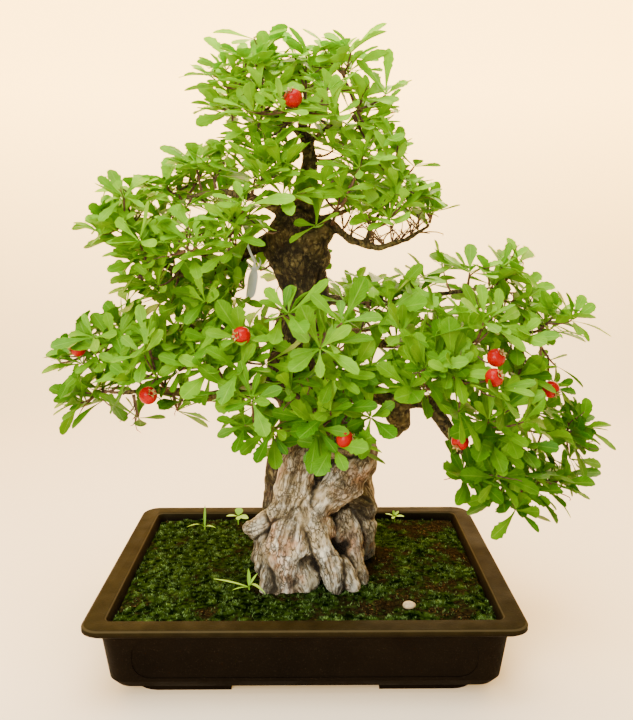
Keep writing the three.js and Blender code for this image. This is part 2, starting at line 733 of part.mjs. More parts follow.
// Places along a twig that can bear a fruit, clear of the rosette at its tip.
function stemPlaces({ points }) {
  const shares = [0.1, 0.25, 0.4, 0.55, 0.7, 0.85];
  const tip = points.at(-1);
  return points.slice(1).flatMap((point, i) => shares.map((share) => ({
    point: points[i].clone().lerp(point, share),
    radius: THREE.MathUtils.lerp(twig.baseRadius, twig.tipRadius, (i + share) / (points.length - 1)),
  }))).filter((spot) => spot.point.distanceTo(tip) > haw.fromTip);
}

// Stalk, round fruit and the crown on its far end as one skin, starting just off the twig that bears it.
function hawSolid(centre) {
  const bearer = nearest([...buds, ...stems.flatMap(stemPlaces)], centre);
  const away = centre.clone().sub(bearer.point).normalize();
  const start = bearer.point.clone().addScaledVector(away, bearer.radius + haw.seat);
  const fruit = [[-1, 0.2], [-0.9, 0.42], [-0.35, 0.94], [0.4, 0.92], [0.93, 0.36]];
  const fruitPlaces = fruit.map(([along]) => centre.clone().addScaledVector(away, along * haw.radius));
  const places = [start, ...fruitPlaces];
  const radii = [haw.stalkRadius, haw.stalkRadius, ...fruit.slice(1).map(([, out]) => out * haw.radius)];
  const rings = sweepRings(places, radii, haw.sides, sideAxis(away));
  const foot = places.at(-1);
  rings.push(rings.at(-1).map((point, i) => {
    const reach = i % 2 === 0 ? 1.3 : 0.7;
    return foot.clone().addScaledVector(point.clone().sub(foot), reach).addScaledVector(away, haw.crownHeight);
  }));
  return ringSolid(rings);
}

// What is left of a body when everything it crosses has been cut away.
function cutBy(body, others) {
  const box = body.boundingBox();
  const met = others.filter((other) => boxesMeet(box, other.boundingBox()));
  return largest(met.reduce((rest, other) => rest.subtract(other), body));
}

const firstHaws = [];
for (const centre of hawPlaces) {
  firstHaws.push(cutBy(hawSolid(centre), [woodReach, ...firstHaws]));
  place(firstHaws.at(-1));
}

// ---------------------------------------------------------------- leaves
rosettes.forEach((rosette, index) => {
  for (let side = 0; side < rosette.sides; side++) {
    for (let attempt = 0; attempt < tries.leaf; attempt++) {
      const blade = leafTry(index, side, attempt, rosette.sides, rosette.turn);
      const whole = bladeStandIn(rosette.hub, blade, tries.leafClearance, 0);
      const strangers = placed.filter((item) => item.rosette !== index);
      if (crosses(whole, strangers)) continue;
      const outer = bladeStandIn(rosette.hub, blade, tries.leafClearance, 0.25);
      const own = placed.filter((item) => item.rosette === index);
      if (crosses(outer, own)) continue;
      rosette.blades[side] = blade;
      place(bladeStandIn(rosette.hub, blade, 0, 0), rosette.spray, index);
      break;
    }
  }
});

const sprayBodies = sprays.map((spray, index) => {
  const bodies = rosettes.filter((rosette) => rosette.spray === index).map((rosette) =>
    rosetteSolid(rosette.points, rosette.hub, rosette.blades, rosette.sides, rosette.turn, twig));
  return largest(union(bodies).subtract(woodReach)).simplify(0.02);
});

const haws = firstHaws.map((body) => cutBy(body, sprayBodies).simplify(0.02));

// ---------------------------------------------------------------- tray
// Corner points of a rounded rectangle, counter-clockwise seen from above.
function roundedRing(halfX, halfY, radius, height, cornerSteps, sideSteps = 1) {
  const points = [];
  const centres = [[1, 1], [-1, 1], [-1, -1], [1, -1]];
  centres.forEach(([signX, signY], corner) => {
    for (let i = 0; i <= cornerSteps; i++) {
      const angle = (Math.PI / 2) * (corner + i / cornerSteps);
      points.push(new THREE.Vector3(
        signX * (halfX - radius) + radius * Math.cos(angle),
        signY * (halfY - radius) + radius * Math.sin(angle),
        height));
    }
    const last = points.at(-1);
    const [nextX, nextY] = centres[(corner + 1) % 4];
    const start = (Math.PI / 2) * (corner + 1);
    const next = new THREE.Vector3(
      nextX * (halfX - radius) + radius * Math.cos(start),
      nextY * (halfY - radius) + radius * Math.sin(start),
      height);
    for (let i = 1; i < sideSteps; i++) points.push(last.clone().lerp(next, i / sideSteps));
  });
  return points;
}

// Half-size differences from the rim's outer edge, so that length and depth share one profile.
const wallTop = tray.lipOverhang;
const wallBottom = tray.lipOverhang + tray.wallLean;
const lipBottom = tray.height - tray.lipHeight;
const wallFoot = tray.footHeight + tray.footRound;
const wallTopHeight = lipBottom - 3;
const outerProfile = [
  [wallBottom + 6, tray.footHeight],
  [wallBottom, wallFoot],
  [wallTop, wallTopHeight],
  [3, lipBottom],
  [0, lipBottom + 2.5],
  [0, tray.height - 2],
  [2.5, tray.height],
];
const innerWall = [
  [tray.rimWidth, tray.height],
  [tray.rimWidth + 1.5, tray.height - 1.5],
  [wallTop + tray.wallThickness, wallTopHeight],
  [wallBottom + tray.wallThickness, tray.floorTop + 6],
  [wallBottom + tray.wallThickness + 6, tray.floorTop],
];

const cornerSteps = 3;

function trayRing([inset, height], radius, sideSteps = 1) {
  return roundedRing(tray.halfLength - inset, tray.halfDepth - inset, radius, height, cornerSteps, sideSteps);
}

// One L under each corner, sunk a little into the body, with its outer corner rounded.
function footSolid(signX, signY) {
  const { halfLength, halfDepth, along, across, width, corner, sink } = foot;
  const round = Array.from({ length: 5 }, (_, i) => {
    const angle = Math.PI + (Math.PI / 8) * i;
    return [corner + corner * Math.cos(angle), corner + corner * Math.sin(angle)];
  });
  const inner = [
    [along, 0],
    [along - 4, width],
    [width + 8, width],
    [width, width + 8],
    [width, across - 4],
    [0, across],
  ];
  const outline = [...round, ...inner].map(([x, y]) =>
    new THREE.Vector2(signX * (halfLength - x), signY * (halfDepth - y)));
  const depth = tray.footHeight + sink;
  const geometry = new THREE.ExtrudeGeometry(new THREE.Shape(outline), { depth, bevelEnabled: false });
  return solidFromGeometry(geometry);
}

// A shallow rounded panel sunk in one wall, cut by a slab that leans with the wall.
function panelCutter(halfWidth, wallDistance, quarterTurn) {
  const shape = new THREE.Shape();
  const half = halfWidth - panel.inset;
  const low = panel.bottom;
  const high = panel.top;
  const round = panel.corner;
  shape.moveTo(half, low + round);
  shape.lineTo(half, high - round);
  shape.absarc(half - round, high - round, round, 0, Math.PI / 2, false);
  shape.absarc(-half + round, high - round, round, Math.PI / 2, Math.PI, false);
  shape.absarc(-half + round, low + round, round, Math.PI, 1.5 * Math.PI, false);
  shape.absarc(half - round, low + round, round, 1.5 * Math.PI, 2 * Math.PI, false);
  const settings = { depth: panel.cutter, bevelEnabled: false, curveSegments: 2 };
  const slab = new THREE.ExtrudeGeometry(shape, settings);
  slab.rotateX(Math.PI / 2);
  const lean = Math.atan2(tray.wallLean, wallTopHeight - wallFoot);
  slab.translate(0, panel.depth, -wallFoot);
  slab.rotateX(lean);
  slab.translate(0, -(wallDistance - tray.wallLean), wallFoot);
  slab.rotateZ((Math.PI / 2) * quarterTurn);
  return solidFromGeometry(slab);
}

function traySolid() {
  const rings = [
    ...outerProfile.map((row) => trayRing(row, tray.cornerRadius)),
    ...innerWall.map((row) => trayRing(row, tray.innerRadius)),
  ];
  const feet = [[1, 1], [-1, 1], [-1, -1], [1, -1]].map(([signX, signY]) => footSolid(signX, signY));
  const halfX = tray.halfLength - wallTop;
  const halfY = tray.halfDepth - wallTop;
  const drains = [-1, 1].map((side) => {
    const hole = new THREE.CylinderGeometry(drain.radius, drain.radius, 40, 14);
    hole.rotateX(Math.PI / 2);
    hole.translate(side * drain.x, 0, tray.floorTop - 10);
    return solidFromGeometry(hole);
  });
  const panels = [0, 2].map((turn) => panelCutter(halfX, halfY, turn));
  const endPanels = [1, 3].map((turn) => panelCutter(halfY, halfX, turn));
  return union([ringSolid(rings), ...feet]).subtract(union([...drains, ...panels, ...endPanels]));
}

// ---------------------------------------------------------------- drainage screens
function boxSolid(width, depth, height, x, y, z) {
  const geometry = new THREE.BoxGeometry(width, depth, height);
  geometry.translate(x, y, z);
  return solidFromGeometry(geometry);
}

function screenSolid(side, grow) {
  const size = drain.screenSize + 2 * grow;
  const height = drain.screenThickness + 2 * grow;
  const x = side * drain.x;
  const z = tray.floorTop + seatGap + drain.screenThickness / 2;
  const plate = boxSolid(size, size, height, x, 0, z);
  if (grow > 0) return plate;
  const cell = (size - drain.bar * (drain.holes + 1)) / drain.holes;
  const cells = Array.from({ length: drain.holes * drain.holes }, (_, i) => {
    const column = (i % drain.holes) - (drain.holes - 1) / 2;
    const row = Math.floor(i / drain.holes) - (drain.holes - 1) / 2;
    return boxSolid(cell, cell, height + 2, x + column * (cell + drain.bar), row * (cell + drain.bar), z);
  });
  return plate.subtract(union(cells));
}

// ---------------------------------------------------------------- soil
function soilHeight(x, y) {
  const reach = Math.hypot(x - 14, y) / soilLevel.moundReach;
  const mound = soilLevel.mound * Math.exp(-reach * reach);
  const ripple = Math.sin(x * 0.045 + 1) * Math.cos(y * 0.052) + 0.6 * Math.sin(x * 0.021 - y * 0.034);
  return soilLevel.edge + mound + soilLevel.roughness * ripple;
}

function soilSolid() {
  const sideSteps = 2;
  const bottom = innerWall.at(-1);
  const lowWall = innerWall.at(-2);
  const highWall = innerWall.at(-3);
  const share = (soilLevel.shoulder - lowWall[1]) / (highWall[1] - lowWall[1]);
  const sides = [
    [bottom[0] + seatGap, bottom[1] + seatGap],
    [lowWall[0] + seatGap, lowWall[1] + 0.2],
    [THREE.MathUtils.lerp(lowWall[0], highWall[0], share) + seatGap, soilLevel.shoulder],
  ].map((row) => trayRing(row, tray.innerRadius, sideSteps));
  const rim = sides.at(-1);
  const tops = [0.99, 0.76, 0.42].map((inwards) => rim.map((point) => {
    const x = point.x * inwards;
    const y = point.y * inwards;
    return new THREE.Vector3(x, y, soilHeight(x, y));
  }));
  return ringSolid([...sides, ...tops]);
}

// ---------------------------------------------------------------- small growth on the soil
const smallPlants = [
  { name: "grass_front", at: [-66, -72], lift: 4, blades: 4, rise: 0.75, length: 46, width: 5, arch: -0.05 },
  { name: "grass_back", at: [-137, 105], lift: 4, blades: 3, rise: 1.15, length: 44, width: 5, arch: -0.05 },
  { name: "seedling_left", at: [-94, 126], lift: 13, blades: 4, rise: 0.45, length: 15, width: 8, arch: 0 },
  { name: "seedling_right", at: [122, 134], lift: 14, blades: 4, rise: 0.4, length: 16, width: 9, arch: 0 },
];

function smallPlant({ at, lift, blades, rise, length, width, arch }, seed) {
  const [x, y] = at;
  const ground = soilHeight(x, y);
  const tip = new THREE.Vector3(x, y, ground + lift);
  const points = [new THREE.Vector3(x, y, ground - 16), new THREE.Vector3(x, y, ground - 4), tip];
  const hub = { ...hubFrame(points, 1), radius: 1.6 };
  const sides = Math.max(blades, 4);
  const list = Array.from({ length: sides }, (_, i) => (i >= blades ? null : {
    angle: (2 * Math.PI * (i + 0.5)) / sides,
    rise: rise + 0.2 * (chance(seed, i) - 0.5),
    roll: 0,
    arch,
    fold: 0.1,
    length: length * (0.75 + 0.4 * chance(seed, 20 + i)),
    width,
    edge: slenderEdge,
  }));
  return rosetteSolid(points, hub, list, sides, 0, { baseRadius: 1.5, tipRadius: 1.5 });
}
const plantBodies = smallPlants.map((plant, i) => smallPlant(plant, 700 + i));

function plantHole({ at }) {
  const [x, y] = at;
  const ground = soilHeight(x, y);
  const points = [new THREE.Vector3(x, y, ground - 16 - minGap), new THREE.Vector3(x, y, ground + 6)];
  return ringSolid(sweepRings(points, [2.3, 2.3], 6, new THREE.Vector3(1, 0, 0)));
}

function pebbleSolid(grow) {
  const stone = new THREE.IcosahedronGeometry(1, 1);
  stone.scale(pebble.halfLength + grow, pebble.halfWidth + grow, pebble.halfHeight + grow);
  stone.rotateZ(0.5);
  stone.translate(pebble.x, pebble.y, soilHeight(pebble.x, pebble.y) + 1.5);
  return solidFromGeometry(stone);
}

const soilBody = largest(soilSolid().subtract(union([
  woodReach,
  pebbleSolid(minGap),
  ...smallPlants.map(plantHole),
  ...[-1, 1].map((side) => screenSolid(side, seatGap)),
]))).simplify(0.1);

// ---------------------------------------------------------------- the group
const finishes = {
  clay: { color: 0x3a2a20, roughness: 0.6 },
  screen: { color: 0x2b3a2e, roughness: 0.7 },
  soil: { color: 0x3c4a1c, roughness: 0.95 },
  wood: { color: 0x8b7763, roughness: 0.9 },
  leaf: { color: 0x76b82a, roughness: 0.5 },
  haw: { color: 0xd8301c, roughness: 0.3 },
  tag: { color: 0xf0f0f2, roughness: 0.4 },
  stone: { color: 0xb8a488, roughness: 0.8 },
};

const group = new THREE.Group();

function add(name, body, finish) {
  const material = new THREE.MeshStandardMaterial({ ...finishes[finish], metalness: 0 });
  const mesh = new THREE.Mesh(geometryOf(body), material);
  mesh.name = name;
  group.add(mesh);
}

add("tray", traySolid(), "clay");
add("drainage_screen_left", screenSolid(-1, 0), "screen");
add("drainage_screen_right", screenSolid(1, 0), "screen");
add("soil", soilBody, "soil");
add("wood", wood, "wood");
sprays.forEach((spray, i) => add(spray.name, sprayBodies[i], "leaf"));
haws.forEach((body, i) => add(`haw_${i + 1}`, body, "haw"));
add("tag", tagBody, "tag");
smallPlants.forEach((plant, i) => add(plant.name, plantBodies[i], "leaf"));
add("pebble", pebbleSolid(0), "stone");

const box = new THREE.Box3().setFromObject(group);
const centre = box.getCenter(new THREE.Vector3());
group.position.set(-centre.x, -centre.y, -box.min.z);

export default group;
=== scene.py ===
"""An old fruiting hawthorn grown as a bonsai, in a rectangular clay tray. In metres, +Z up.

The sections follow the tree as it is put together: the tray, the soil, the wood, the leafy sprays,
the fruits, and the small things on them."""
import math
import random

import bmesh
import bpy
import numpy as np
from mathutils import Matrix, Vector, noise
from mathutils.bvhtree import BVHTree
from mathutils.kdtree import KDTree


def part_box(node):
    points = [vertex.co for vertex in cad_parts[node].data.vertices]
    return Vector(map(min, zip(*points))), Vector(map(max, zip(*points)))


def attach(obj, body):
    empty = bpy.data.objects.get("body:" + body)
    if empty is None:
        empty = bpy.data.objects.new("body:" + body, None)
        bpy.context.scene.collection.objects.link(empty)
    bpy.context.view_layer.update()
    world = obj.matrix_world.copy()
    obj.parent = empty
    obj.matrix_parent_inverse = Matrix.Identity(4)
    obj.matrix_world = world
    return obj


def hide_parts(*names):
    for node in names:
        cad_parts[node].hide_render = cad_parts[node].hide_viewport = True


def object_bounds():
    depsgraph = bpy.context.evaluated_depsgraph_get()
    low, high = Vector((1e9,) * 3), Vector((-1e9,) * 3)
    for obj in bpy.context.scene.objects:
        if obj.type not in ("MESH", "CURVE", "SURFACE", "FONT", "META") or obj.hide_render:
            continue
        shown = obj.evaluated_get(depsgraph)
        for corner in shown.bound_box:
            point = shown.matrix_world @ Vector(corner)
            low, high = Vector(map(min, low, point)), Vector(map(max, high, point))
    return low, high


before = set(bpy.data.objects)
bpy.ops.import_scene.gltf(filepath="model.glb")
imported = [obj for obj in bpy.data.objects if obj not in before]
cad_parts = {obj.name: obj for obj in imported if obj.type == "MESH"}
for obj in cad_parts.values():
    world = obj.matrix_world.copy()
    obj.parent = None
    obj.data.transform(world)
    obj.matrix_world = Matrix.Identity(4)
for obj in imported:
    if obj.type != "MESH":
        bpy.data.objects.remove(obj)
cad_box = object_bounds()

# ---------------------------------------------------------------- the view and the studio
# A camera at the height of the upper limbs, looking a little down on the tree. A pale floor runs up
# into a pale wall behind it. Light is soft, mostly from above, as under a translucent roof.
MM = 0.001
floor_size = 8
floor_middle = -2.2
wall_rise = 4
wall_bend = 0.9
wall_brightness = 7.6
tray_low, tray_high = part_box("tray")
tray_middle = (tray_low + tray_high) / 2


def spot(x, y, z):
    """A place given in millimetres from the middle of the tray and from the surface it stands on."""
    return Vector((tray_middle.x + x * MM, tray_middle.y + y * MM, z * MM))


camera_place = spot(5.6, -902.0, 497.6)
camera_down = math.radians(10.34)
camera_turn = math.radians(0.47)
picture_height = 24.0
focal_share = 1.095
camera_data = bpy.data.cameras.new("camera")
camera_data.sensor_fit = "VERTICAL"
camera_data.sensor_height = picture_height
camera_data.lens = picture_height * focal_share
camera = bpy.data.objects.new("camera", camera_data)
camera.location = camera_place
camera.rotation_euler = (math.pi / 2 - camera_down, 0, -camera_turn)
bpy.context.scene.collection.objects.link(camera)
bpy.context.scene.camera = camera


def pick(piece, test, kind="FACE"):
    """Selects, in edit mode, only those faces, edges or corners of a piece that pass the test."""
    bpy.ops.mesh.select_mode(type=kind)
    bpy.ops.mesh.select_all(action="DESELECT")
    mesh = bmesh.from_edit_mesh(piece.data)
    items = {"FACE": mesh.faces, "EDGE": mesh.edges, "VERT": mesh.verts}[kind]
    for item in items:
        if test(item):
            item.select_set(True)
    bmesh.update_edit_mesh(piece.data)


def begin(name):
    """Names the primitive that was just added and opens it for editing."""
    piece = bpy.context.object
    piece.name = name
    piece.data.name = name
    bpy.ops.object.transform_apply(location=True, rotation=True, scale=True)
    bpy.ops.object.mode_set(mode="EDIT")
    return piece


def put(tree, kind, inputs=None, **settings):
    """Adds one shader node. Its inputs are given as numbers, or as the sockets that feed them."""
    node = tree.nodes.new("ShaderNode" + kind)
    for name, value in settings.items():
        setattr(node, name, value)
    for name, value in (inputs or {}).items():
        socket = node.inputs[name]
        if isinstance(value, bpy.types.NodeSocket):
            tree.links.new(value, socket)
        else:
            socket.default_value = value
    return node


def new_material(name, **values):
    """A material whose Principled shader starts with the given values."""
    material = bpy.data.materials.new(name)
    material.use_nodes = True
    tree = material.node_tree
    shader = tree.nodes["Principled BSDF"]
    for key, value in values.items():
        shader.inputs[key.replace("_", " ")].default_value = value
    return material, tree, shader


def mapped(tree, value, low, high, start=0.0, end=1.0):
    """Carries a value from one range to another, and holds it at the ends."""
    limits = {"Value": value, "From Min": low, "From Max": high, "To Min": start, "To Max": end}
    return put(tree, "MapRange", limits).outputs[0]


bpy.ops.object.select_all(action="DESELECT")
bpy.ops.mesh.primitive_plane_add(size=floor_size, location=(0, floor_middle, 0))
floor = begin("floor")
pick(floor, lambda edge: all(corner.co.y > 1 for corner in edge.verts), "EDGE")
bpy.ops.mesh.extrude_region_move(TRANSFORM_OT_translate={"value": (0, 0, wall_rise)})
pick(floor, lambda edge: all(corner.co.y > 1 and abs(corner.co.z) < 0.01 for corner in edge.verts), "EDGE")
bpy.ops.mesh.bevel(offset=wall_bend, segments=24, affect="EDGES")
bpy.ops.object.mode_set(mode="OBJECT")
bpy.ops.object.shade_smooth()
floor_paint, tree, floor_shader = new_material(
    "pale studio floor", Base_Color=(0.84, 0.72, 0.54, 1), Roughness=0.85,
    Emission_Color=(1.0, 0.56, 0.11, 1))
wall_height = put(tree, "SeparateXYZ", {"Vector": put(tree, "TexCoord").outputs["Object"]}).outputs["Z"]
wall_glow = mapped(tree, wall_height, -0.05, 0.9, 0.0, wall_brightness)
tree.links.new(wall_glow, floor_shader.inputs["Emission Strength"])
floor.data.materials.append(floor_paint)


def soft_light(name, place, target, size, power, colour):
    """A round area light that faces its target."""
    light_data = bpy.data.lights.new(name, "AREA")
    light_data.shape = "DISK"
    light_data.size = size
    light_data.energy = power
    light_data.color = colour
    light = bpy.data.objects.new(name, light_data)
    light.location = place
    light.rotation_euler = (target - place).to_track_quat("-Z", "Y").to_euler()
    bpy.context.scene.collection.objects.link(light)


tree_middle = spot(0, 0, 350)
soft_light("roof light", spot(-150, -350, 1900), tree_middle, 1.5, 62, (1.0, 0.98, 0.94))
soft_light("front light", spot(-700, -1500, 900), tree_middle, 1.2, 48, (1.0, 0.97, 0.92))
soft_light("back light", spot(500, 1100, 1300), tree_middle, 1.4, 22, (1.0, 0.98, 0.95))
world = bpy.data.worlds.new("studio air")
world.use_nodes = True
world.node_tree.nodes["Background"].inputs["Color"].default_value = (1.0, 0.97, 0.93, 1)
world.node_tree.nodes["Background"].inputs["Strength"].default_value = 0.42
bpy.context.scene.world = world

# ---------------------------------------------------------------- the tray
# A press-moulded stoneware tray, fired dark brown and left unglazed. The flat rim overhangs the
# leaning walls, each wall has a shallow sunk panel, and four L-shaped feet carry it.
rim_half = ((tray_high.x - tray_low.x) / 2, (tray_high.y - tray_low.y) / 2)
rim_corner = 20 * MM
well_corner = 8 * MM
# Each step is how far the outline lies in from the rim's edge, and its height there.
outside_steps = [(0, 81.5), (3, 79), (15.5, 76), (22, 19), (28, 10)]
rim_edge_step = [(2.5, 88)]
well_floor = (38, 20)
well_steps = [(32, 26), (25.5, 76), (22.5, 86.5), (21, 88), (21, 96)]
edge_height = 86
foot_outer = (184, 136)
foot_size = (105, 82)
foot_width = 24
foot_height = 10
foot_corner = 26
foot_inner_corner = 8
drain_offset = 95
drain_radius = 12
panel_side = 34
panel_span = (23, 70)
panel_corner = 19
panel_depth = 1.3
corner_steps = 8
edge_softness = 0.9


def follow_steps(steps, inset, height):
    """Carries the selected face along a profile: each step sets it in from the rim's edge and lifts it."""
    for next_inset, next_height in steps:
        share = [(half - next_inset * MM) / (half - inset * MM) for half in rim_half]
        bpy.ops.mesh.extrude_region_move()
        bpy.ops.transform.resize(value=(*share, 1), center_override=(tray_middle.x, tray_middle.y, 0))
        bpy.ops.transform.translate(value=(0, 0, (next_height - height) * MM))
        inset, height = next_inset, next_height


def apply_modifier(piece, kind, name, **settings):
    """Gives a piece a modifier with these settings, and applies it."""
    modifier = piece.modifiers.new(name, kind)
    for key, value in settings.items():
        setattr(modifier, key, value)
    bpy.context.view_layer.objects.active = piece
    bpy.ops.object.modifier_apply(modifier=modifier.name)


def carve(piece, tool, operation):
    """Cuts a tool out of a piece, or joins it on, and removes the tool."""
    apply_modifier(piece, "BOOLEAN", "carve", object=tool, operation=operation, solver="EXACT")
    bpy.data.objects.remove(tool)


def rounded_outline(name, inset, corner, height):
    """A flat face with rounded corners, set in from the rim's edge, open for editing."""
    bpy.ops.object.select_all(action="DESELECT")
    bpy.ops.mesh.primitive_plane_add(size=2, location=(0, 0, 0))
    face = begin(name)
    bpy.ops.mesh.select_all(action="SELECT")
    bpy.ops.transform.resize(value=(*(half - inset * MM for half in rim_half), 1))
    bpy.ops.transform.translate(value=(tray_middle.x, tray_middle.y, height * MM))
    bpy.ops.mesh.bevel(offset=corner, segments=corner_steps, affect="VERTICES")
    return face


def close_up():
    """Turns all faces of a closed shape outwards and leaves edit mode."""
    bpy.ops.mesh.select_all(action="SELECT")
    bpy.ops.mesh.normals_make_consistent(inside=False)
    bpy.ops.object.mode_set(mode="OBJECT")


def rounded_plate(name, half_x, half_y, corner, height, thickness):
    """A flat plate with rounded corners, lying at a height and extruded upwards."""
    bpy.ops.object.select_all(action="DESELECT")
    bpy.ops.mesh.primitive_plane_add(size=2, location=(0, 0, 0))
    plate = begin(name)
    bpy.ops.mesh.select_all(action="SELECT")
    bpy.ops.transform.resize(value=(half_x, half_y, 1))
    bpy.ops.mesh.bevel(offset=corner, segments=corner_steps, affect="VERTICES")
    bpy.ops.mesh.extrude_region_move(TRANSFORM_OT_translate={"value": (0, 0, thickness)})
    bpy.ops.mesh.select_all(action="SELECT")
    bpy.ops.transform.translate(value=(0, 0, height))
    close_up()
    return plate


tray = rounded_outline("clay_tray", 0, rim_corner, edge_height)
follow_steps(outside_steps, 0, edge_height)
bpy.ops.mesh.select_all(action="SELECT")
bpy.ops.mesh.normals_make_consistent(inside=False)
pick(tray, lambda face: face.normal.z > 0.99 and face.calc_center_median().z > (edge_height - 1) * MM)
follow_steps(rim_edge_step, 0, edge_height)
close_up()
well = rounded_outline("well", well_floor[0], well_corner, well_floor[1])
follow_steps(well_steps, *well_floor)
close_up()
carve(tray, well, "DIFFERENCE")

for sign_x, sign_y in [(1, 1), (-1, 1), (-1, -1), (1, -1)]:
    bpy.ops.object.select_all(action="DESELECT")
    bpy.ops.mesh.primitive_plane_add(size=1, location=(0, 0, 0))
    foot = begin("foot")
    bpy.ops.mesh.select_all(action="SELECT")
    bpy.ops.transform.resize(value=(foot_size[0] * MM, foot_size[1] * MM, 1))
    pick(foot, lambda corner: corner.co.x > 0 and corner.co.y > 0, "VERT")
    bpy.ops.mesh.bevel(offset=foot_corner * MM, segments=6, affect="VERTICES")
    bpy.ops.mesh.select_all(action="SELECT")
    bpy.ops.mesh.extrude_region_move(TRANSFORM_OT_translate={"value": (0, 0, (foot_height + 1) * MM)})
    close_up()
    half_x, half_y = foot_size[0] / 2 * MM, foot_size[1] / 2 * MM
    inner = rounded_plate("inner", half_x, half_y, foot_inner_corner * MM, -5 * MM, 30 * MM)
    inner.location = (-foot_width * MM, -foot_width * MM, 0)
    bpy.context.view_layer.update()
    carve(foot, inner, "DIFFERENCE")
    outer_corner = Vector((foot_outer[0] * MM, foot_outer[1] * MM, 0)) - Vector((half_x, half_y, 0))
    turn = Matrix.Diagonal((sign_x, sign_y, 1, 1))
    foot.data.transform(Matrix.Translation(outer_corner))
    foot.data.transform(turn)
    foot.data.transform(Matrix.Translation((tray_middle.x, tray_middle.y, 0)))
    if sign_x * sign_y < 0:
        foot.data.flip_normals()
    carve(tray, foot, "UNION")

for side in (-1, 1):
    bpy.ops.object.select_all(action="DESELECT")
    place = spot(side * drain_offset, 0, 15)
    bpy.ops.mesh.primitive_cylinder_add(vertices=32, radius=drain_radius * MM, depth=40 * MM, location=place)
    hole = begin("drain_hole")
    bpy.ops.object.mode_set(mode="OBJECT")
    carve(tray, hole, "DIFFERENCE")

wall_high, wall_low = outside_steps[2:4]
wall_lean = math.atan2(wall_low[0] - wall_high[0], wall_high[1] - wall_low[1])
panel_height = (panel_span[1] - panel_span[0]) / 2
for quarter in range(4):
    long_wall = quarter % 2 == 0
    wall_length = rim_half[0] if long_wall else rim_half[1]
    wall_distance = rim_half[1] if long_wall else rim_half[0]
    half_length = wall_length - (wall_high[0] + panel_side) * MM
    plate = rounded_plate("panel", half_length, panel_height * MM, panel_corner * MM, 0, 20 * MM)
    upright = Matrix.Rotation(math.pi / 2, 4, "X")
    lifted = Matrix.Translation((0, panel_depth * MM, (panel_span[0] + panel_height - wall_low[1]) * MM))
    leaning = Matrix.Rotation(wall_lean, 4, "X")
    against_wall = Matrix.Translation((0, -(wall_distance - wall_low[0] * MM), wall_low[1] * MM))
    turned = Matrix.Rotation(quarter * math.pi / 2, 4, "Z")
    in_place = Matrix.Translation((tray_middle.x, tray_middle.y, 0))
    plate.data.transform(in_place @ turned @ against_wall @ leaning @ lifted @ upright)
    carve(tray, plate, "DIFFERENCE")


def select_only(piece):
    """Deselects everything but one piece, and makes it the active one."""
    bpy.ops.object.select_all(action="DESELECT")
    piece.select_set(True)
    bpy.context.view_layer.objects.active = piece


apply_modifier(tray, "BEVEL", "soft edges", width=edge_softness * MM, segments=2, limit_method="ANGLE",
               angle_limit=math.radians(25))
select_only(tray)
bpy.ops.object.shade_smooth_by_angle(angle=math.radians(32))


def grain_group():
    """Uneven grain as a mask from 0 to 1, on object coordinates. Each material sets how fine it is."""
    group = bpy.data.node_groups.new("grain", "ShaderNodeTree")
    defaults = {"Scale": 100.0, "Detail": 4.0, "From": 0.35, "To": 0.65, "Upright stretch": 1.0}
    for name, default in defaults.items():
        socket = group.interface.new_socket(name=name, in_out="INPUT", socket_type="NodeSocketFloat")
        socket.default_value = default
    group.interface.new_socket(name="Mask", in_out="OUTPUT", socket_type="NodeSocketFloat")
    entry = group.nodes.new("NodeGroupInput")
    leave = group.nodes.new("NodeGroupOutput")
    place = put(group, "TexCoord").outputs["Object"]
    stretch = put(group, "CombineXYZ", {"X": 1.0, "Y": 1.0, "Z": entry.outputs["Upright stretch"]})
    pulled = put(group, "VectorMath", {0: place, 1: stretch.outputs["Vector"]}, operation="MULTIPLY")
    speckle = put(group, "TexNoise", {
        "Vector": pulled.outputs["Vector"],
        "Scale": entry.outputs["Scale"],
        "Detail": entry.outputs["Detail"],
    })
    mask = mapped(group, speckle.outputs["Fac"], entry.outputs["From"], entry.outputs["To"])
    group.links.new(mask, leave.inputs["Mask"])
    return group


grain = grain_group()


def add_grain(tree, scale, low=0.35, high=0.65, detail=4.0, stretch=1.0):
    """Places the grain group in a material and gives its mask."""
    node = tree.nodes.new("ShaderNodeGroup")
    node.node_tree = grain
    values = {"Scale": scale, "Detail": detail, "From": low, "To": high, "Upright stretch": stretch}
    for name, value in values.items():
        node.inputs[name].default_value = value
    return node.outputs["Mask"]


def blend(tree, share, first, second):
    """Mixes two colours by a share."""
    node = put(tree, "Mix", {0: share}, data_type="RGBA")
    for socket, value in ((node.inputs[6], first), (node.inputs[7], second)):
        if isinstance(value, bpy.types.NodeSocket):
            tree.links.new(value, socket)
        else:
            socket.default_value = (*value, 1)
    return node.outputs[2]


def math_node(tree, operation, first, second=0.0):
    """Works out one sum in a material."""
    return put(tree, "Math", {0: first, 1: second}, operation=operation).outputs[0]


def times(tree, first, second):
    return math_node(tree, "MULTIPLY", first, second)


def paint(tree, shader, colour):
    """Gives a shader its base colour from other nodes."""
    tree.links.new(colour, shader.inputs["Base Color"])


def bumped(tree, shader, height, distance, strength=1.0):
    """Gives a shader a fine relief, with its height in metres."""
    bump = put(tree, "Bump", {"Height": height, "Distance": distance, "Strength": strength})
    tree.links.new(bump.outputs["Normal"], shader.inputs["Normal"])


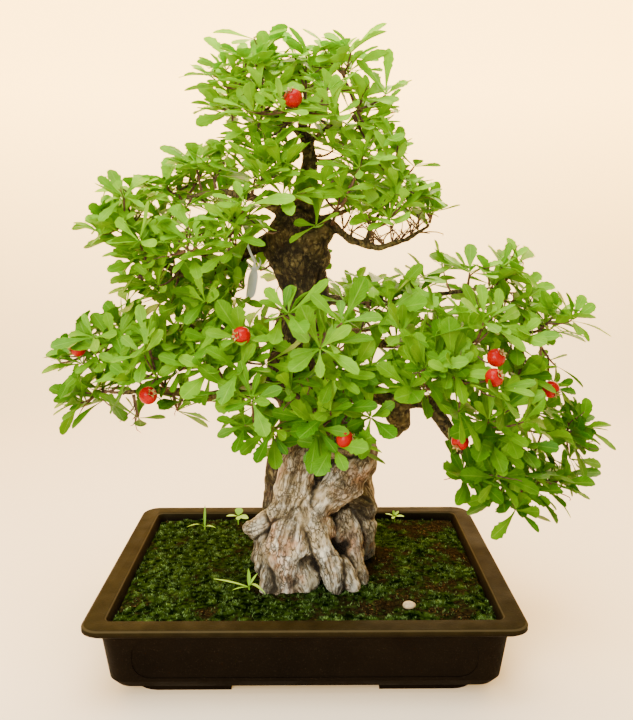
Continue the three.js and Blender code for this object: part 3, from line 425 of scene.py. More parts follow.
clay, tree, shader = new_material("brown stoneware", Roughness=0.65, Specular_IOR_Level=0.02)
place = put(tree, "SeparateXYZ", {"Vector": put(tree, "TexCoord").outputs["Object"]})
near_rim = mapped(tree, place.outputs["Z"], 0.0795, 0.0865)
fired = blend(tree, add_grain(tree, 14, 0.3, 0.7), (0.0036, 0.0021, 0.0009), (0.0062, 0.0037, 0.0016))
rim_colour = blend(tree, add_grain(tree, 60, 0.35, 0.7), (0.0115, 0.0078, 0.0015), (0.0185, 0.0128, 0.0030))
body = blend(tree, near_rim, fired, rim_colour)
# Painted highlight: a thin band along the rim's outer edge is painted lighter, where the edge catches the
# light.
lip = mapped(tree, place.outputs["Z"], 0.0860, 0.0866)
flat_top = mapped(tree, place.outputs["Z"], 0.0874, 0.0878)
lip_highlight = times(tree, math_node(tree, "SUBTRACT", lip, flat_top), 0.7)
body = blend(tree, lip_highlight, body, (0.060, 0.043, 0.017))
speck = add_grain(tree, 700, 0.62, 0.75, 2.0)
paint(tree, shader, blend(tree, times(tree, speck, 0.25), body, (0.05, 0.036, 0.022)))
tree.links.new(mapped(tree, add_grain(tree, 25), 0.0, 1.0, 0.50, 0.72), shader.inputs["Roughness"])
bumped(tree, shader, add_grain(tree, 420, 0.2, 0.8, 5.0), 0.00035, 0.5)
tray.data.materials.clear()
tray.data.materials.append(clay)
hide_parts("tray")
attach(tray, "root")

# ---------------------------------------------------------------- the drainage screens
# A square of green plastic mesh lies over each drain hole, under the soil. It is moulded in one piece.
mesh_plastic, tree, shader = new_material("green mesh plastic", Roughness=0.55)
paint(tree, shader, blend(tree, add_grain(tree, 300), (0.02, 0.05, 0.025), (0.03, 0.07, 0.035)))
for name in ("drainage_screen_left", "drainage_screen_right"):
    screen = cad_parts[name]
    screen.data.materials.clear()
    screen.data.materials.append(mesh_plastic)

# ---------------------------------------------------------------- the soil
# Gritty potting soil, packed round the roots and mounded towards the trunk. Most of it is covered by
# a low skin of moss, which is patchy and grows thinner to the right of the trunk.
soil_voxel = 2.6 * MM
# The soil packed in round the foot of the trunk: half-sizes, corner, and its foot and top.
filling_half = (125, 112)
filling_corner = 60
filling_span = (50, 79)
soil_edge = 70 * MM
moss_cushion = 13
# Relief of the soil in millimetres: wide and narrow lumps, moss tufts, crumbs, and how far it is let down.
soil_lumps = (1.3, 0.8)
tuft_height = 3.4
crumb_height = 0.5
let_down = 1.2
# Moss colours: near black, painted as shade in the gaps between the domes, a middle green, and a light green
# painted as light on the domes' tops.
moss_greens = ((0.0010, 0.0030, 0.0003), (0.036, 0.072, 0.010), (0.19, 0.30, 0.075))
soil_browns = ((0.003, 0.0022, 0.0008), (0.020, 0.014, 0.005))


def merged_copy(node, name):
    """A new piece with the shape of a solid of the frame, its loose triangles joined."""
    piece = bpy.data.objects.new(name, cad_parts[node].data.copy())
    bpy.context.scene.collection.objects.link(piece)
    select_only(piece)
    bpy.ops.object.mode_set(mode="EDIT")
    bpy.ops.mesh.select_all(action="SELECT")
    bpy.ops.mesh.remove_doubles(threshold=0.00001)
    bpy.ops.object.mode_set(mode="OBJECT")
    piece.data.materials.clear()
    return piece


def remesh(piece, voxel):
    """Gives a piece, and all that was joined to it, one even closed skin."""
    apply_modifier(piece, "REMESH", "even skin", mode="VOXEL", voxel_size=voxel)


def corners_of(piece):
    """The corners of a mesh and their normals, as two arrays."""
    count = len(piece.data.vertices)
    points = np.empty(count * 3)
    normals = np.empty(count * 3)
    piece.data.vertices.foreach_get("co", points)
    piece.data.vertices.foreach_get("normal", normals)
    return points.reshape(-1, 3), normals.reshape(-1, 3)


def set_corners(piece, points):
    piece.data.vertices.foreach_set("co", points.ravel())
    piece.data.update()


def set_share(piece, name, values):
    """Stores a number for each corner, for the material to read."""
    attribute = piece.data.attributes.new(name, "FLOAT", "POINT")
    attribute.data.foreach_set("value", np.asarray(values, dtype=np.float32))


def rough_at(point, scale, seed):
    """Smooth noise from -1 to 1 at a point. The scale is the size of a lump in millimetres."""
    return noise.noise(Vector(point) * (1000 / scale) + Vector((seed, seed * 1.7, -seed)))


soil = merged_copy("soil", "moss_soil")
filling_depth = (filling_span[1] - filling_span[0]) * MM
filling_base = filling_span[0] * MM
filling = rounded_plate("packed_soil", filling_half[0] * MM, filling_half[1] * MM, filling_corner * MM,
                        filling_base, filling_depth)
filling.data.transform(Matrix.Translation((tray_middle.x, tray_middle.y, 0)))
soil.select_set(True)
bpy.context.view_layer.objects.active = soil
bpy.ops.object.join()
remesh(soil, soil_voxel)
points, normals = corners_of(soil)
moss_cover = np.zeros(len(points))
moss_crest = np.zeros(len(points))


def moss_at(point):
    """How thick the moss is at a place: patchy, and thinner to the right of the trunk."""
    patch = 0.55 + 0.8 * rough_at(point, 46, 3) + 0.5 * rough_at(point, 17, 5)
    return patch + 0.16 * (tray_middle.x + 0.03 - point[0]) / 0.2


def cushion_at(point):
    """Moss grows in small domes with gaps between them, which the moss material paints dark as shade: 0 in a
    gap and 1 on top of a dome.
    """
    bent = Vector(point) + Vector((rough_at(point, 16, 6), rough_at(point, 16, 7), 0)) * (5 * MM)
    flat = Vector((bent.x, bent.y, 0)) * (1000 / moss_cushion)
    nearest = noise.voronoi(flat)[0]
    return min(1, max(0, (nearest[1] - nearest[0]) * 1.6))


for i, (point, normal) in enumerate(zip(points, normals)):
    if point[2] < soil_edge or normal[2] < 0.3:
        continue
    moss_cover[i] = min(1, max(0, moss_at(point)))
    moss_crest[i] = cushion_at(point) * (0.6 + 0.4 * rough_at(point, 8, 4))
    lumps = soil_lumps[0] * rough_at(point, 30, 1) + soil_lumps[1] * rough_at(point, 12, 2)
    tufts = tuft_height * (0.35 + 0.65 * moss_cover[i]) * moss_crest[i]
    crumbs = crumb_height * abs(rough_at(point, 5.5, 4))
    points[i][2] += (lumps + tufts + crumbs - let_down) * MM
set_corners(soil, points)
set_share(soil, "moss", moss_cover)
set_share(soil, "crest", moss_crest)
bpy.ops.object.shade_smooth()


def stored(tree, name):
    """A number that the mesh stores at each corner."""
    return put(tree, "Attribute", attribute_name=name).outputs["Fac"]


moss_soil, tree, shader = new_material("moss on soil", Roughness=1.0, Specular_IOR_Level=0.0)
dark_moss, middle_moss, bright_moss = moss_greens
# Painted light and shade: the moss is painted near black in the gaps between its domes and light green on
# their tops, as if lit from above, mixed with grain.
painted_crest_light = math_node(tree, "ADD", stored(tree, "crest"), times(tree, add_grain(tree, 180, 0.3, 0.7), 0.55))
leafy = blend(tree, mapped(tree, painted_crest_light, 0.25, 0.95), dark_moss, middle_moss)
tips = times(tree, mapped(tree, painted_crest_light, 0.75, 1.25), add_grain(tree, 420, 0.45, 0.68))
leafy = blend(tree, tips, leafy, bright_moss)
earth = blend(tree, add_grain(tree, 300, 0.35, 0.65), soil_browns[0], soil_browns[1])
litter = times(tree, add_grain(tree, 420, 0.60, 0.68, 2.0), add_grain(tree, 60, 0.45, 0.6))
earth = blend(tree, litter, earth, (0.12, 0.070, 0.022))
patchy = math_node(tree, "ADD", stored(tree, "moss"), times(tree, add_grain(tree, 130), 0.5))
paint(tree, shader, blend(tree, mapped(tree, patchy, 0.40, 0.80), earth, leafy))
bumped(tree, shader, add_grain(tree, 500, 0.2, 0.8, 6.0), 0.0014, 1.0)
soil.data.materials.append(moss_soil)
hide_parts("soil")
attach(soil, "root")

# Low upright moss shoots, each a small star of pointed blades, stand all over the moss.
shoot_count = 6500
shoot_blades = 4
shoot_reach = (202, 147)
shoot_lowest = 72
shoot_heights = (1.2, 3.2)
blade_reach = (0.5, 2.2)
above_soil = 130
random.seed(11)


def surface_tree(piece):
    """A piece's surface, ready to be searched for its nearest places."""
    return BVHTree.FromPolygons(
        [tuple(vertex.co) for vertex in piece.data.vertices],
        [tuple(polygon.vertices) for polygon in piece.data.polygons])


def mesh_piece(name, points, faces, materials):
    """A new piece from a list of points and faces."""
    data = bpy.data.meshes.new(name)
    data.from_pydata([tuple(point) for point in points], [], faces)
    for material in materials:
        data.materials.append(material)
    piece = bpy.data.objects.new(name, data)
    bpy.context.scene.collection.objects.link(piece)
    return piece


soil_surface = surface_tree(soil)
shoot_points = []
shoot_faces = []
shoot_tones = []
while len(shoot_tones) < shoot_count * shoot_blades * 3:
    x = random.uniform(-shoot_reach[0], shoot_reach[0])
    y = random.uniform(-shoot_reach[1], shoot_reach[1])
    ground, slope, _, _ = soil_surface.ray_cast(spot(x, y, above_soil), Vector((0, 0, -1)))
    if ground is None or ground.z < shoot_lowest * MM or slope.z < 0.3:
        continue
    crest_here = cushion_at(ground)
    if moss_at(ground) + random.uniform(-0.4, 0.4) < 0.4 or crest_here < random.uniform(0.0, 0.5):
        continue
    height = random.uniform(*shoot_heights) * MM
    # Painted light and shade: shoots on top of a dome are painted lighter, as lit, and shoots in the gaps
    # darker, as in shade.
    tone = min(1, random.random() ** 1.4 * (0.35 + 0.9 * crest_here))
    for _ in range(shoot_blades):
        angle = random.uniform(0, 2 * math.pi)
        reach = random.uniform(*blade_reach) * MM
        out = Vector((math.cos(angle), math.sin(angle), 0))
        side = Vector((-out.y, out.x, 0)) * 0.45 * MM
        first = len(shoot_points)
        foot_place = ground - Vector((0, 0, 0.4 * MM))
        blade_tip = foot_place + out * reach + Vector((0, 0, height))
        shoot_points += [foot_place - side, foot_place + side, blade_tip]
        shoot_faces.append((first, first + 1, first + 2))
        shoot_tones += [tone] * 3
shoots_green, tree, shader = new_material("moss shoots", Roughness=1.0, Specular_IOR_Level=0.0)
paint(tree, shader, blend(tree, stored(tree, "tone"), (0.005, 0.012, 0.0016), (0.20, 0.32, 0.085)))
shoots = mesh_piece("moss_shoots", shoot_points, shoot_faces, [shoots_green])
set_share(shoots, "tone", shoot_tones)
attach(shoots, "root")

# ---------------------------------------------------------------- the wood
# Trunk, surface roots and limbs, grown as one piece. The old trunk is a bundle of muscles that have
# grown into each other, with deep hollows between them. Its bark is bleached low down, and dark and
# furrowed higher up.
wood_voxel = 2.0 * MM
bundle_top = 236
sphere_spacing = 0.3
# Muscles of the lower trunk: how bleached each is, then places along it with its radius there.
muscles = [
    (0.10, [(13, 6, 92, 42), (14, 6, 150, 45), (24, 4, 196, 43), (20, 0, 244, 38)]),
    (1.00, [(-6, -40, 158, 21), (-12, -42, 134, 31), (-18, -46, 108, 34), (-22, -50, 82, 30)]),
    (1.00, [(-32, -52, 106, 20), (-39, -60, 86, 17), (-42, -64, 72, 11)]),
    (0.95, [(-6, -58, 104, 22), (0, -66, 88, 17), (2, -68, 74, 10)]),
    (0.90, [(6, -40, 176, 18), (15, -50, 150, 22), (26, -57, 122, 20), (33, -67, 99, 15),
            (34, -74, 80, 9)]),
    (0.80, [(36, -56, 112, 16), (47, -65, 95, 13), (56, -71, 80, 8)]),
    (0.75, [(0, -32, 246, 20), (-6, -35, 220, 23), (-12, -38, 196, 23), (-20, -38, 174, 19),
            (-31, -35, 154, 13)]),
    (0.70, [(68, -20, 230, 19), (54, -32, 212, 24), (38, -38, 192, 25), (20, -44, 174, 21),
            (6, -44, 156, 14)]),
    (0.50, [(4, -30, 256, 18), (28, -36, 250, 22), (52, -28, 243, 23), (69, -16, 227, 19),
            (73, -16, 207, 12)]),
    (0.10, [(-14, -10, 240, 22), (-26, -6, 214, 21), (-31, -2, 186, 19), (-33, 0, 158, 19),
            (-30, 4, 110, 22)]),
    (0.65, [(-22, -26, 154, 18), (-42, -28, 144, 17), (-58, -28, 139, 14), (-68, -28, 141, 8)]),
    (0.70, [(-32, -32, 138, 16), (-45, -40, 122, 13), (-50, -48, 104, 11), (-47, -54, 84, 7)]),
    (0.20, [(48, -8, 180, 22), (66, -12, 169, 18), (74, -14, 156, 13)]),
    (0.45, [(58, -10, 148, 20), (70, -16, 137, 14), (75, -20, 122, 8)]),
    (0.55, [(44, -22, 144, 20), (49, -37, 122, 20), (55, -47, 102, 16), (67, -54, 82, 8)]),
    (0.50, [(58, 6, 200, 22), (62, 10, 150, 22), (66, 18, 104, 20), (76, 30, 74, 11)]),
    (0.60, [(40, 30, 216, 24), (46, 34, 168, 24), (40, 42, 120, 24), (52, 60, 76, 13)]),
    (0.45, [(8, 34, 232, 22), (6, 40, 190, 24), (12, 44, 140, 23), (2, 60, 80, 14)]),
    (0.60, [(-16, 20, 214, 21), (-22, 26, 168, 23), (-30, 34, 122, 21), (-48, 54, 76, 11)]),
    (0.50, [(-26, 10, 150, 22), (-40, 10, 116, 20), (-60, 14, 76, 11)]),
]
# Height, middle x, middle y and radius of the upper trunk, and the cords that twist up it.
upper_trunk = [
    (222, 25, 0, 48), (261, 8, -3, 37), (309, -9, -2, 33), (357, -8, 3, 29), (403, 1, 6, 25),
    (437, -8, 3, 28), (471, -13, -2, 32), (503, -4, -2, 17), (548, 5, 2, 9),
]
cord_foot = 216
cord_step = 18
cord_twist = math.radians(0.55)
cord_reach = 0.56
cord_girth = 0.50
cord_tops = (470, 492, 455, 500, 480)
# Knuckles and burrs: middle and radius.
burrs = [
    (-20, -12, 476, 23), (4, -12, 468, 22), (-10, -14, 448, 21), (-32, -4, 462, 17), (16, -8, 452, 14),
    (-8, -20, 492, 14), (20, -16, 478, 12), (-20, -12, 330, 18), (8, -10, 384, 17), (-30, 10, 296, 16),
    (6, -18, 296, 16), (103, -30, 274, 12), (111, -25, 264, 10), (103, -22, 255, 9), (18, -56, 166, 12),
    (-36, -44, 164, 9), (58, -46, 192, 12), (76, -24, 168, 8), (24, 50, 204, 14), (-26, 36, 200, 13),
]
# Hollows between the muscles: middle, half-size and depth.
hollows = [
    ((46, -64, 152), 21, 14), ((46, -56, 130), 14, 10), ((58, -50, 164), 13, 8), ((-42, -26, 180), 12, 8),
    ((62, -36, 182), 9, 5), ((-2, -66, 172), 7, 4), ((12, -76, 110), 9, 6), ((-34, -60, 124), 8, 4),
    ((6, -44, 232), 7, 5), ((-46, 30, 160), 12, 7), ((24, 62, 150), 12, 7), ((66, 34, 160), 10, 6),
]
# Relief of the skin, in millimetres: wide and narrow swells, lumps, furrows, and the seams between muscles.
wide_swell = 3.2
narrow_swell = 2.6
lump_heights = (1.3, 0.8)
furrow_depth = 0.9
seam_depth = 3.0
seam_width = 3.0
smoothing_rounds = 16
wide_rounds = 22
near_rounds = 4
bleached_top = 252
bleached_fade = 40


def sphere_chain(stations):
    """Places and radii close enough along a route for spheres there to read as one muscle."""
    rows = []
    for start, end in zip(stations, stations[1:]):
        start, end = np.array(start, dtype=float), np.array(end, dtype=float)
        length = np.linalg.norm((end - start)[:3])
        count = max(2, int(length / (sphere_spacing * min(start[3], end[3]))))
        rows += [start + (end - start) * i / count for i in range(count)]
    rows.append(np.array(stations[-1], dtype=float))
    return rows


def cord_stations(number):
    """One cord of the upper trunk, wound round its middle line."""
    heights = [row[0] for row in upper_trunk]
    stations = []
    for height in range(cord_foot, cord_tops[number], cord_step):
        x, y, radius = (float(np.interp(height, heights, [row[i] for row in upper_trunk])) for i in (1, 2, 3))
        angle = 2 * math.pi * number / len(cord_tops) + cord_twist * (height - heights[0]) + 0.4
        reach = radius * cord_reach
        girth = radius * cord_girth * (1 + 0.10 * math.sin(height * 0.07 + number * 2))
        stations.append((x + reach * math.cos(angle), y + reach * math.sin(angle), height, girth))
    return stations


def take_shape(piece):
    """The corners and faces of a master shape, which is then removed."""
    shape, _ = corners_of(piece)
    faces = [tuple(polygon.vertices) for polygon in piece.data.polygons]
    bpy.data.objects.remove(piece)
    return shape, faces


bpy.ops.object.select_all(action="DESELECT")
bpy.ops.mesh.primitive_uv_sphere_add(segments=20, ring_count=12, radius=1)
ball = begin("ball")
bpy.ops.object.mode_set(mode="OBJECT")
ball_shape, ball_faces = take_shape(ball)
cords = [cord_stations(number) for number in range(len(cord_tops))]
balls = [row for _, stations in muscles for row in sphere_chain(stations)]
balls += [row for stations in cords for row in sphere_chain(stations)]
balls += [np.array(row, dtype=float) for row in burrs]
ball_points = np.concatenate([np.array(spot(*row[:3])) + ball_shape * row[3] * MM for row in balls])
ball_rows = [tuple(i + number * len(ball_shape) for i in face)
             for number in range(len(balls)) for face in ball_faces]

wood = merged_copy("wood", "trunk_and_limbs")
bpy.ops.object.mode_set(mode="EDIT")
bpy.ops.mesh.select_all(action="SELECT")
bpy.ops.mesh.bisect(plane_co=spot(0, 0, bundle_top), plane_no=(0, 0, 1), use_fill=True, clear_inner=True)
bpy.ops.object.mode_set(mode="OBJECT")
mesh_piece("muscles", ball_points.tolist(), ball_rows, []).select_set(True)
bpy.context.view_layer.objects.active = wood
bpy.ops.object.join()
remesh(wood, wood_voxel)


def neighbour_rows(piece):
    """The two corners of each edge."""
    edges = np.empty(len(piece.data.edges) * 2, dtype=np.int64)
    piece.data.edges.foreach_get("vertices", edges)
    return edges.reshape(-1, 2)


def neighbour_mean(values, edges):
    """The mean of a value over each corner's neighbours."""
    count = len(values)
    total = np.zeros((count, values.shape[1]))
    for column in range(values.shape[1]):
        total[:, column] += np.bincount(edges[:, 0], values[edges[:, 1], column], count)
        total[:, column] += np.bincount(edges[:, 1], values[edges[:, 0], column], count)
    return total / np.maximum(np.bincount(edges.ravel(), minlength=count), 1)[:, None]


def dents_of(piece, rounds):
    """How deep each corner lies below the surface around it, in millimetres. Ridges are negative."""
    points, normals = corners_of(piece)
    edges = neighbour_rows(piece)
    eased = points
    for _ in range(rounds):
        eased = neighbour_mean(eased, edges)
    return ((eased - points) * normals).sum(axis=1) / MM


def fibres_at(points):
    """For each point: the gap to the nearest muscle and to the next, its place on it, and its bleaching."""
    count = len(points)
    found = {"gap": np.full(count, 1e9), "across": np.zeros(count), "along": np.zeros(count),
             "bleach": np.zeros(count), "number": np.zeros(count)}
    next_gap = np.full(count, 1e9)
    for number, (paleness, stations) in enumerate(muscles + [(0.0, stations) for stations in cords]):
        muscle = {"gap": np.full(count, 1e9), "across": np.zeros(count), "along": np.zeros(count),
                  "bleach": np.full(count, paleness), "number": np.full(count, number)}
        mean_girth = sum(station[3] for station in stations) / len(stations)
        length_so_far = 0.0
        for start, end in zip(stations, stations[1:]):
            place = np.array(spot(*start[:3]))
            span = np.array(spot(*end[:3])) - place
            share = np.clip((points - place) @ span / (span @ span), 0, 1)
            away = points - place - share[:, None] * span
            radius = start[3] + (end[3] - start[3]) * share
            along = span / np.linalg.norm(span)
            outward = place + 0.5 * span - np.array(spot(12, 4, start[2]))
            first = outward - along * (outward @ along)
            first /= np.linalg.norm(first)
            turn = np.arctan2(away @ np.cross(along, first), away @ first)
            here = {
                "gap": np.linalg.norm(away, axis=1) / MM - radius,
                "across": turn * mean_girth,
                "along": length_so_far + share * np.linalg.norm(span) / MM,
            }
            closer = here["gap"] < muscle["gap"]
            for key, values in here.items():
                muscle[key] = np.where(closer, values, muscle[key])
            length_so_far += np.linalg.norm(span) / MM
        closer = muscle["gap"] < found["gap"]
        next_gap = np.where(closer, found["gap"], np.minimum(next_gap, muscle["gap"]))
        for key, values in muscle.items():
            found[key] = np.where(closer, values, found[key])
    return found, next_gap


points, normals = corners_of(wood)
edges = neighbour_rows(wood)
found, next_gap = fibres_at(points)
on_bundle = np.clip(1.5 - found["gap"] / 6, 0, 1)
for _ in range(smoothing_rounds):
    points += (neighbour_mean(points, edges) - points) * (0.12 + 0.7 * on_bundle)[:, None]
set_corners(wood, points)
points, normals = corners_of(wood)
swells = np.array([wide_swell * rough_at(point, 30, 7) + narrow_swell * rough_at(point, 14, 8)
                   for point in points])
for middle, half_size, depth in hollows:
    gap = np.linalg.norm(points - np.array(spot(*middle)), axis=1) / (half_size * MM)
    swells -= depth * np.exp(-gap * gap)
points += normals * (swells * (0.3 + 0.7 * on_bundle) * MM)[:, None]
for _ in range(2):
    points += (neighbour_mean(points, edges) - points) * 0.5
set_corners(wood, points)

points, normals = corners_of(wood)
seam = np.exp(-((next_gap - found["gap"]) / seam_width) ** 2) * on_bundle
# Places in the bark's own grain: across the fibres, along them, and a number for each muscle.
fibre_pull = 0.24
fibre = np.stack([found["across"], found["along"] * fibre_pull, found["number"] * 40.0], axis=1) * MM
furrow = np.zeros(len(points))
step = np.zeros(len(points))
for i, point in enumerate(points):
    wide = rough_at(point, 26, 17)
    middle = rough_at(point, 11, 18)
    small = rough_at(point, 5.5, 9)
    strand = fibre[i] + np.array([3.5 * wide + 1.5 * middle, 0, 0]) * MM
    wave = rough_at(strand, 8, 3)
    cut = math.exp(-(wave / 0.085) ** 2) * min(1, max(0, 0.55 + 2.0 * rough_at(point, 17, 11)))
    plain = max(0, 1 - abs(rough_at(point, 10, 12)) / 0.12)
    furrow[i] = cut * on_bundle[i] + 0.8 * plain * (1 - on_bundle[i])
    seam[i] *= min(1, max(0, 0.75 + 1.6 * rough_at(point, 26, 14)))
    scale = 0.4 + 0.6 * on_bundle[i]
    lumps = (lump_heights[0] * middle + lump_heights[1] * small) * scale
    step[i] = lumps - furrow_depth * furrow[i] - seam_depth * seam[i]
points += normals * step[:, None] * MM
set_corners(wood, points)
# Painted shade: hollows and creases, found by how deep each corner lies below the surface around it, are
# painted near black together with the furrows and seams.
wide_dents = dents_of(wood, wide_rounds)
near_dents = dents_of(wood, near_rounds)
hollow = np.clip((wide_dents - 0.4) / 2.2, 0, 1)
cracks_and_painted_shade = np.clip(0.4 * furrow + 1.1 * seam + near_dents / 1.6, 0, 1)
low_down = np.clip((bleached_top - points[:, 2] / MM) / bleached_fade, 0, 1)
patches = np.array([rough_at(point, 28, 13) for point in points])
set_share(wood, "cracks_and_painted_shade", np.clip(np.maximum(cracks_and_painted_shade * 0.92, hollow), 0, 1))
grain_place = wood.data.attributes.new("fibre", "FLOAT_VECTOR", "POINT")
grain_place.data.foreach_set("vector", fibre.astype(np.float32).ravel())
set_share(wood, "bundle", on_bundle)
# Painted highlight: how far each corner stands above the surface around it, so that the bark can be painted
# lighter on its ridges.
set_share(wood, "ridge", np.clip(-near_dents / 1.1, 0, 1))
set_share(wood, "bleached", np.clip((found["bleach"] + 0.4 * patches) * low_down, 0, 1))
bpy.ops.object.shade_smooth()

bark, tree, shader = new_material("old bark", Roughness=0.86, Specular_IOR_Level=0.22)
ridge_highlight = stored(tree, "ridge")
place = put(tree, "TexCoord").outputs["Object"]
bent = put(tree, "TexNoise", {"Vector": place, "Scale": 140.0, "Detail": 4.0})
wander = put(tree, "VectorMath", {0: bent.outputs["Color"], 3: 0.009}, operation="SCALE")
wandering = put(tree, "VectorMath", {0: place, 1: wander.outputs["Vector"]}, operation="ADD")


def crack_lines(scale, stretch, width):
    """Thin branching cracks between small plates of bark."""
    pulled = put(tree, "VectorMath", {0: wandering.outputs["Vector"], 1: stretch}, operation="MULTIPLY")
    inputs = {"Vector": pulled.outputs["Vector"], "Scale": scale}
    plates = put(tree, "TexVoronoi", inputs, feature="DISTANCE_TO_EDGE")
    return mapped(tree, plates.outputs["Distance"], 0.01, width, 1.0, 0.0)


def fibre_lines(scale, width):
    """Cracks that run along the fibres of each muscle."""
    strands = put(tree, "Attribute", attribute_name="fibre").outputs["Vector"]
    bending = put(tree, "VectorMath", {0: bent.outputs["Color"], 3: 0.003}, operation="SCALE")
    moved = put(tree, "VectorMath", {0: strands, 1: bending.outputs["Vector"]}, operation="ADD")
    streak = put(tree, "TexNoise", {"Vector": moved.outputs["Vector"], "Scale": scale, "Detail": 3.0})
    apart = math_node(tree, "ABSOLUTE", math_node(tree, "SUBTRACT", streak.outputs["Fac"], 0.5))
    return mapped(tree, apart, 0.0, width, 1.0, 0.0)


on_muscle = stored(tree, "bundle")
plate_cracks = crack_lines(190.0, (1.0, 1.0, 0.4), 0.13)
fine_cracks = times(tree, plate_cracks, add_grain(tree, 44, 0.42, 0.54))
long_cracks = times(tree, fibre_lines(160.0, 0.105), on_muscle)
long_cracks = times(tree, long_cracks, add_grain(tree, 36, 0.34, 0.48))
thin_lines = math_node(tree, "MAXIMUM", fine_cracks, long_cracks)
streaks = times(tree, fibre_lines(90.0, 0.12), on_muscle)
pale = blend(tree, add_grain(tree, 48, 0.36, 0.62), (0.34, 0.26, 0.140), (0.72, 0.60, 0.36))
pale = blend(tree, times(tree, add_grain(tree, 26, 0.47, 0.62), 0.8), pale, (0.60, 0.32, 0.175))
pale = blend(tree, times(tree, streaks, 0.35), pale, (0.24, 0.17, 0.075))
weathered = times(tree, add_grain(tree, 34, 0.53, 0.63), 0.55)
pale = blend(tree, weathered, pale, (0.15, 0.105, 0.045))
silvery = times(tree, add_grain(tree, 90, 0.52, 0.64, 6.0, 0.6), 0.8)
pale = blend(tree, silvery, pale, (1.0, 0.95, 0.74))
# Painted highlight: the pale bark is painted almost white on its ridges, as lit.
pale = blend(tree, times(tree, ridge_highlight, 0.75), pale, (1.0, 0.97, 0.80))
dark = blend(tree, add_grain(tree, 80, 0.35, 0.65), (0.008, 0.0055, 0.0012), (0.040, 0.030, 0.007))
dark = blend(tree, add_grain(tree, 190, 0.54, 0.68), dark, (0.16, 0.125, 0.040))
# Painted highlight: the dark bark is painted golden on its ridges, as lit.
dark = blend(tree, times(tree, ridge_highlight, 0.6), dark, (0.24, 0.175, 0.052))
skin = blend(tree, stored(tree, "bleached"), dark, pale)
# Cracks, and painted shade in the hollows and creases, are painted near black.
split = math_node(tree, "MAXIMUM", stored(tree, "cracks_and_painted_shade"), times(tree, thin_lines, 0.9))
paint(tree, shader, blend(tree, split, skin, (0.010, 0.006, 0.002)))
relief = math_node(tree, "SUBTRACT", add_grain(tree, 330, 0.2, 0.8, 6.0, 0.6), thin_lines)
bumped(tree, shader, relief, 0.0013, 0.85)
wood.data.materials.append(bark)
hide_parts("wood")
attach(wood, "root")

# ---------------------------------------------------------------- the sprays
# Each spray is a twig that forks once and ends in stars of leaves. The leaves are glossy wedges with
# a rounded or toothed end, and the youngest, at the top of the tree, are yellower. Leaves are also painted
# lighter towards the top, as lit from above, and darker further in, as in the crown's shade.
spray_tips = {
    "apex": [
        ((-76, -8, 648), (-82, 14, 612)), ((-42, -30, 654), (-22, -62, 604)),
        ((2, 0, 668), (-8, 50, 636)), ((40, -12, 656), (32, -58, 600)), ((64, 2, 612), (44, 42, 598)),
        ((-48, -44, 596), (-44, 38, 622)),
    ],
    "left_high": [
        ((-238, 4, 486), (-192, -22, 508)), ((-144, 2, 530), (-170, 52, 492)),
        ((-98, -32, 540), (-102, 56, 514)), ((-52, -58, 536), (-14, -76, 518)),
        ((-118, -76, 480), (-70, -86, 490)), ((-180, -38, 452), (-142, -62, 458)),
    ],
    "right_high": [
        ((38, -58, 522), (12, -66, 488)), ((86, 4, 550), (72, 52, 524)),
        ((122, 0, 552), (102, -44, 524)), ((142, -12, 502), (90, -56, 494)),
    ],
    "left_low": [
        ((-268, 0, 340), (-236, -12, 302)), ((-212, -32, 358), (-204, 46, 340)),
        ((-160, -60, 374), (-156, -88, 330)), ((-112, -48, 386), (-130, 72, 398)),
        ((-98, -106, 340), (-58, -84, 366)), ((-188, -38, 274), (-145, -30, 280)),
        ((-76, -54, 412), (-104, 0, 414)),
    ],
    "front": [
        ((-16, -122, 402), (26, -130, 372)), ((-14, -116, 322), (-54, -100, 302)),
        ((26, -122, 302), (46, -106, 262)), ((-44, -80, 252), (-10, -94, 282)),
        ((42, -98, 342), (4, -88, 352)),
    ],
    "right": [
        ((92, -56, 410), (138, -8, 424)), ((183, -24, 436), (232, -8, 430)),
        ((282, -12, 384), (212, 68, 390)), ((116, -112, 372), (168, -94, 380)),
        ((228, -60, 366), (252, -56, 320)), ((108, -108, 322), (164, -122, 330)),
        ((320, -20, 256), (286, 40, 322)), ((232, -72, 254), (160, -84, 240)),
        ((270, -36, 206), (220, -62, 190)), ((154, 72, 342), (192, -104, 288)),
    ],
    "back": [
        ((-8, 100, 432), (-60, 106, 348)), ((44, 108, 336), (60, 84, 400)),
    ],
}
# Stars of leaves in the frame's solids: how many leaves they have by turns, the hub, each leaf's
# thickness, length and width, how many attempts a leaf got, and how near a corner of the solid has to lie.
leaves_by_turns = (4, 5, 3)
hub_radius = 1.7
leaf_half_thickness = 0.4
leaf_lengths = (38, 54)
leaf_width_share = 0.5
solid_slimness = 0.84
leaf_tries = 9
hub_reach = 2.1
corner_reach = 0.12
# How thick a leaf really is, as a share of its length.
leaf_skin = 0.35 / 45
# Leaf outlines: share of the length, and half-width there as a share of the length.
toothed_rows = [(0, 0.022), (0.22, 0.040), (0.42, 0.095), (0.57, 0.150), (0.665, 0.222),
                (0.70, 0.180), (0.80, 0.240), (0.845, 0.190), (0.93, 0.165), (1.0, 0.075)]
rounded_rows = [(0, 0.020), (0.20, 0.038), (0.40, 0.100), (0.56, 0.165), (0.68, 0.212),
                (0.725, 0.190), (0.82, 0.205), (0.865, 0.172), (0.95, 0.125), (1.0, 0.050)]
leaf_columns = 2


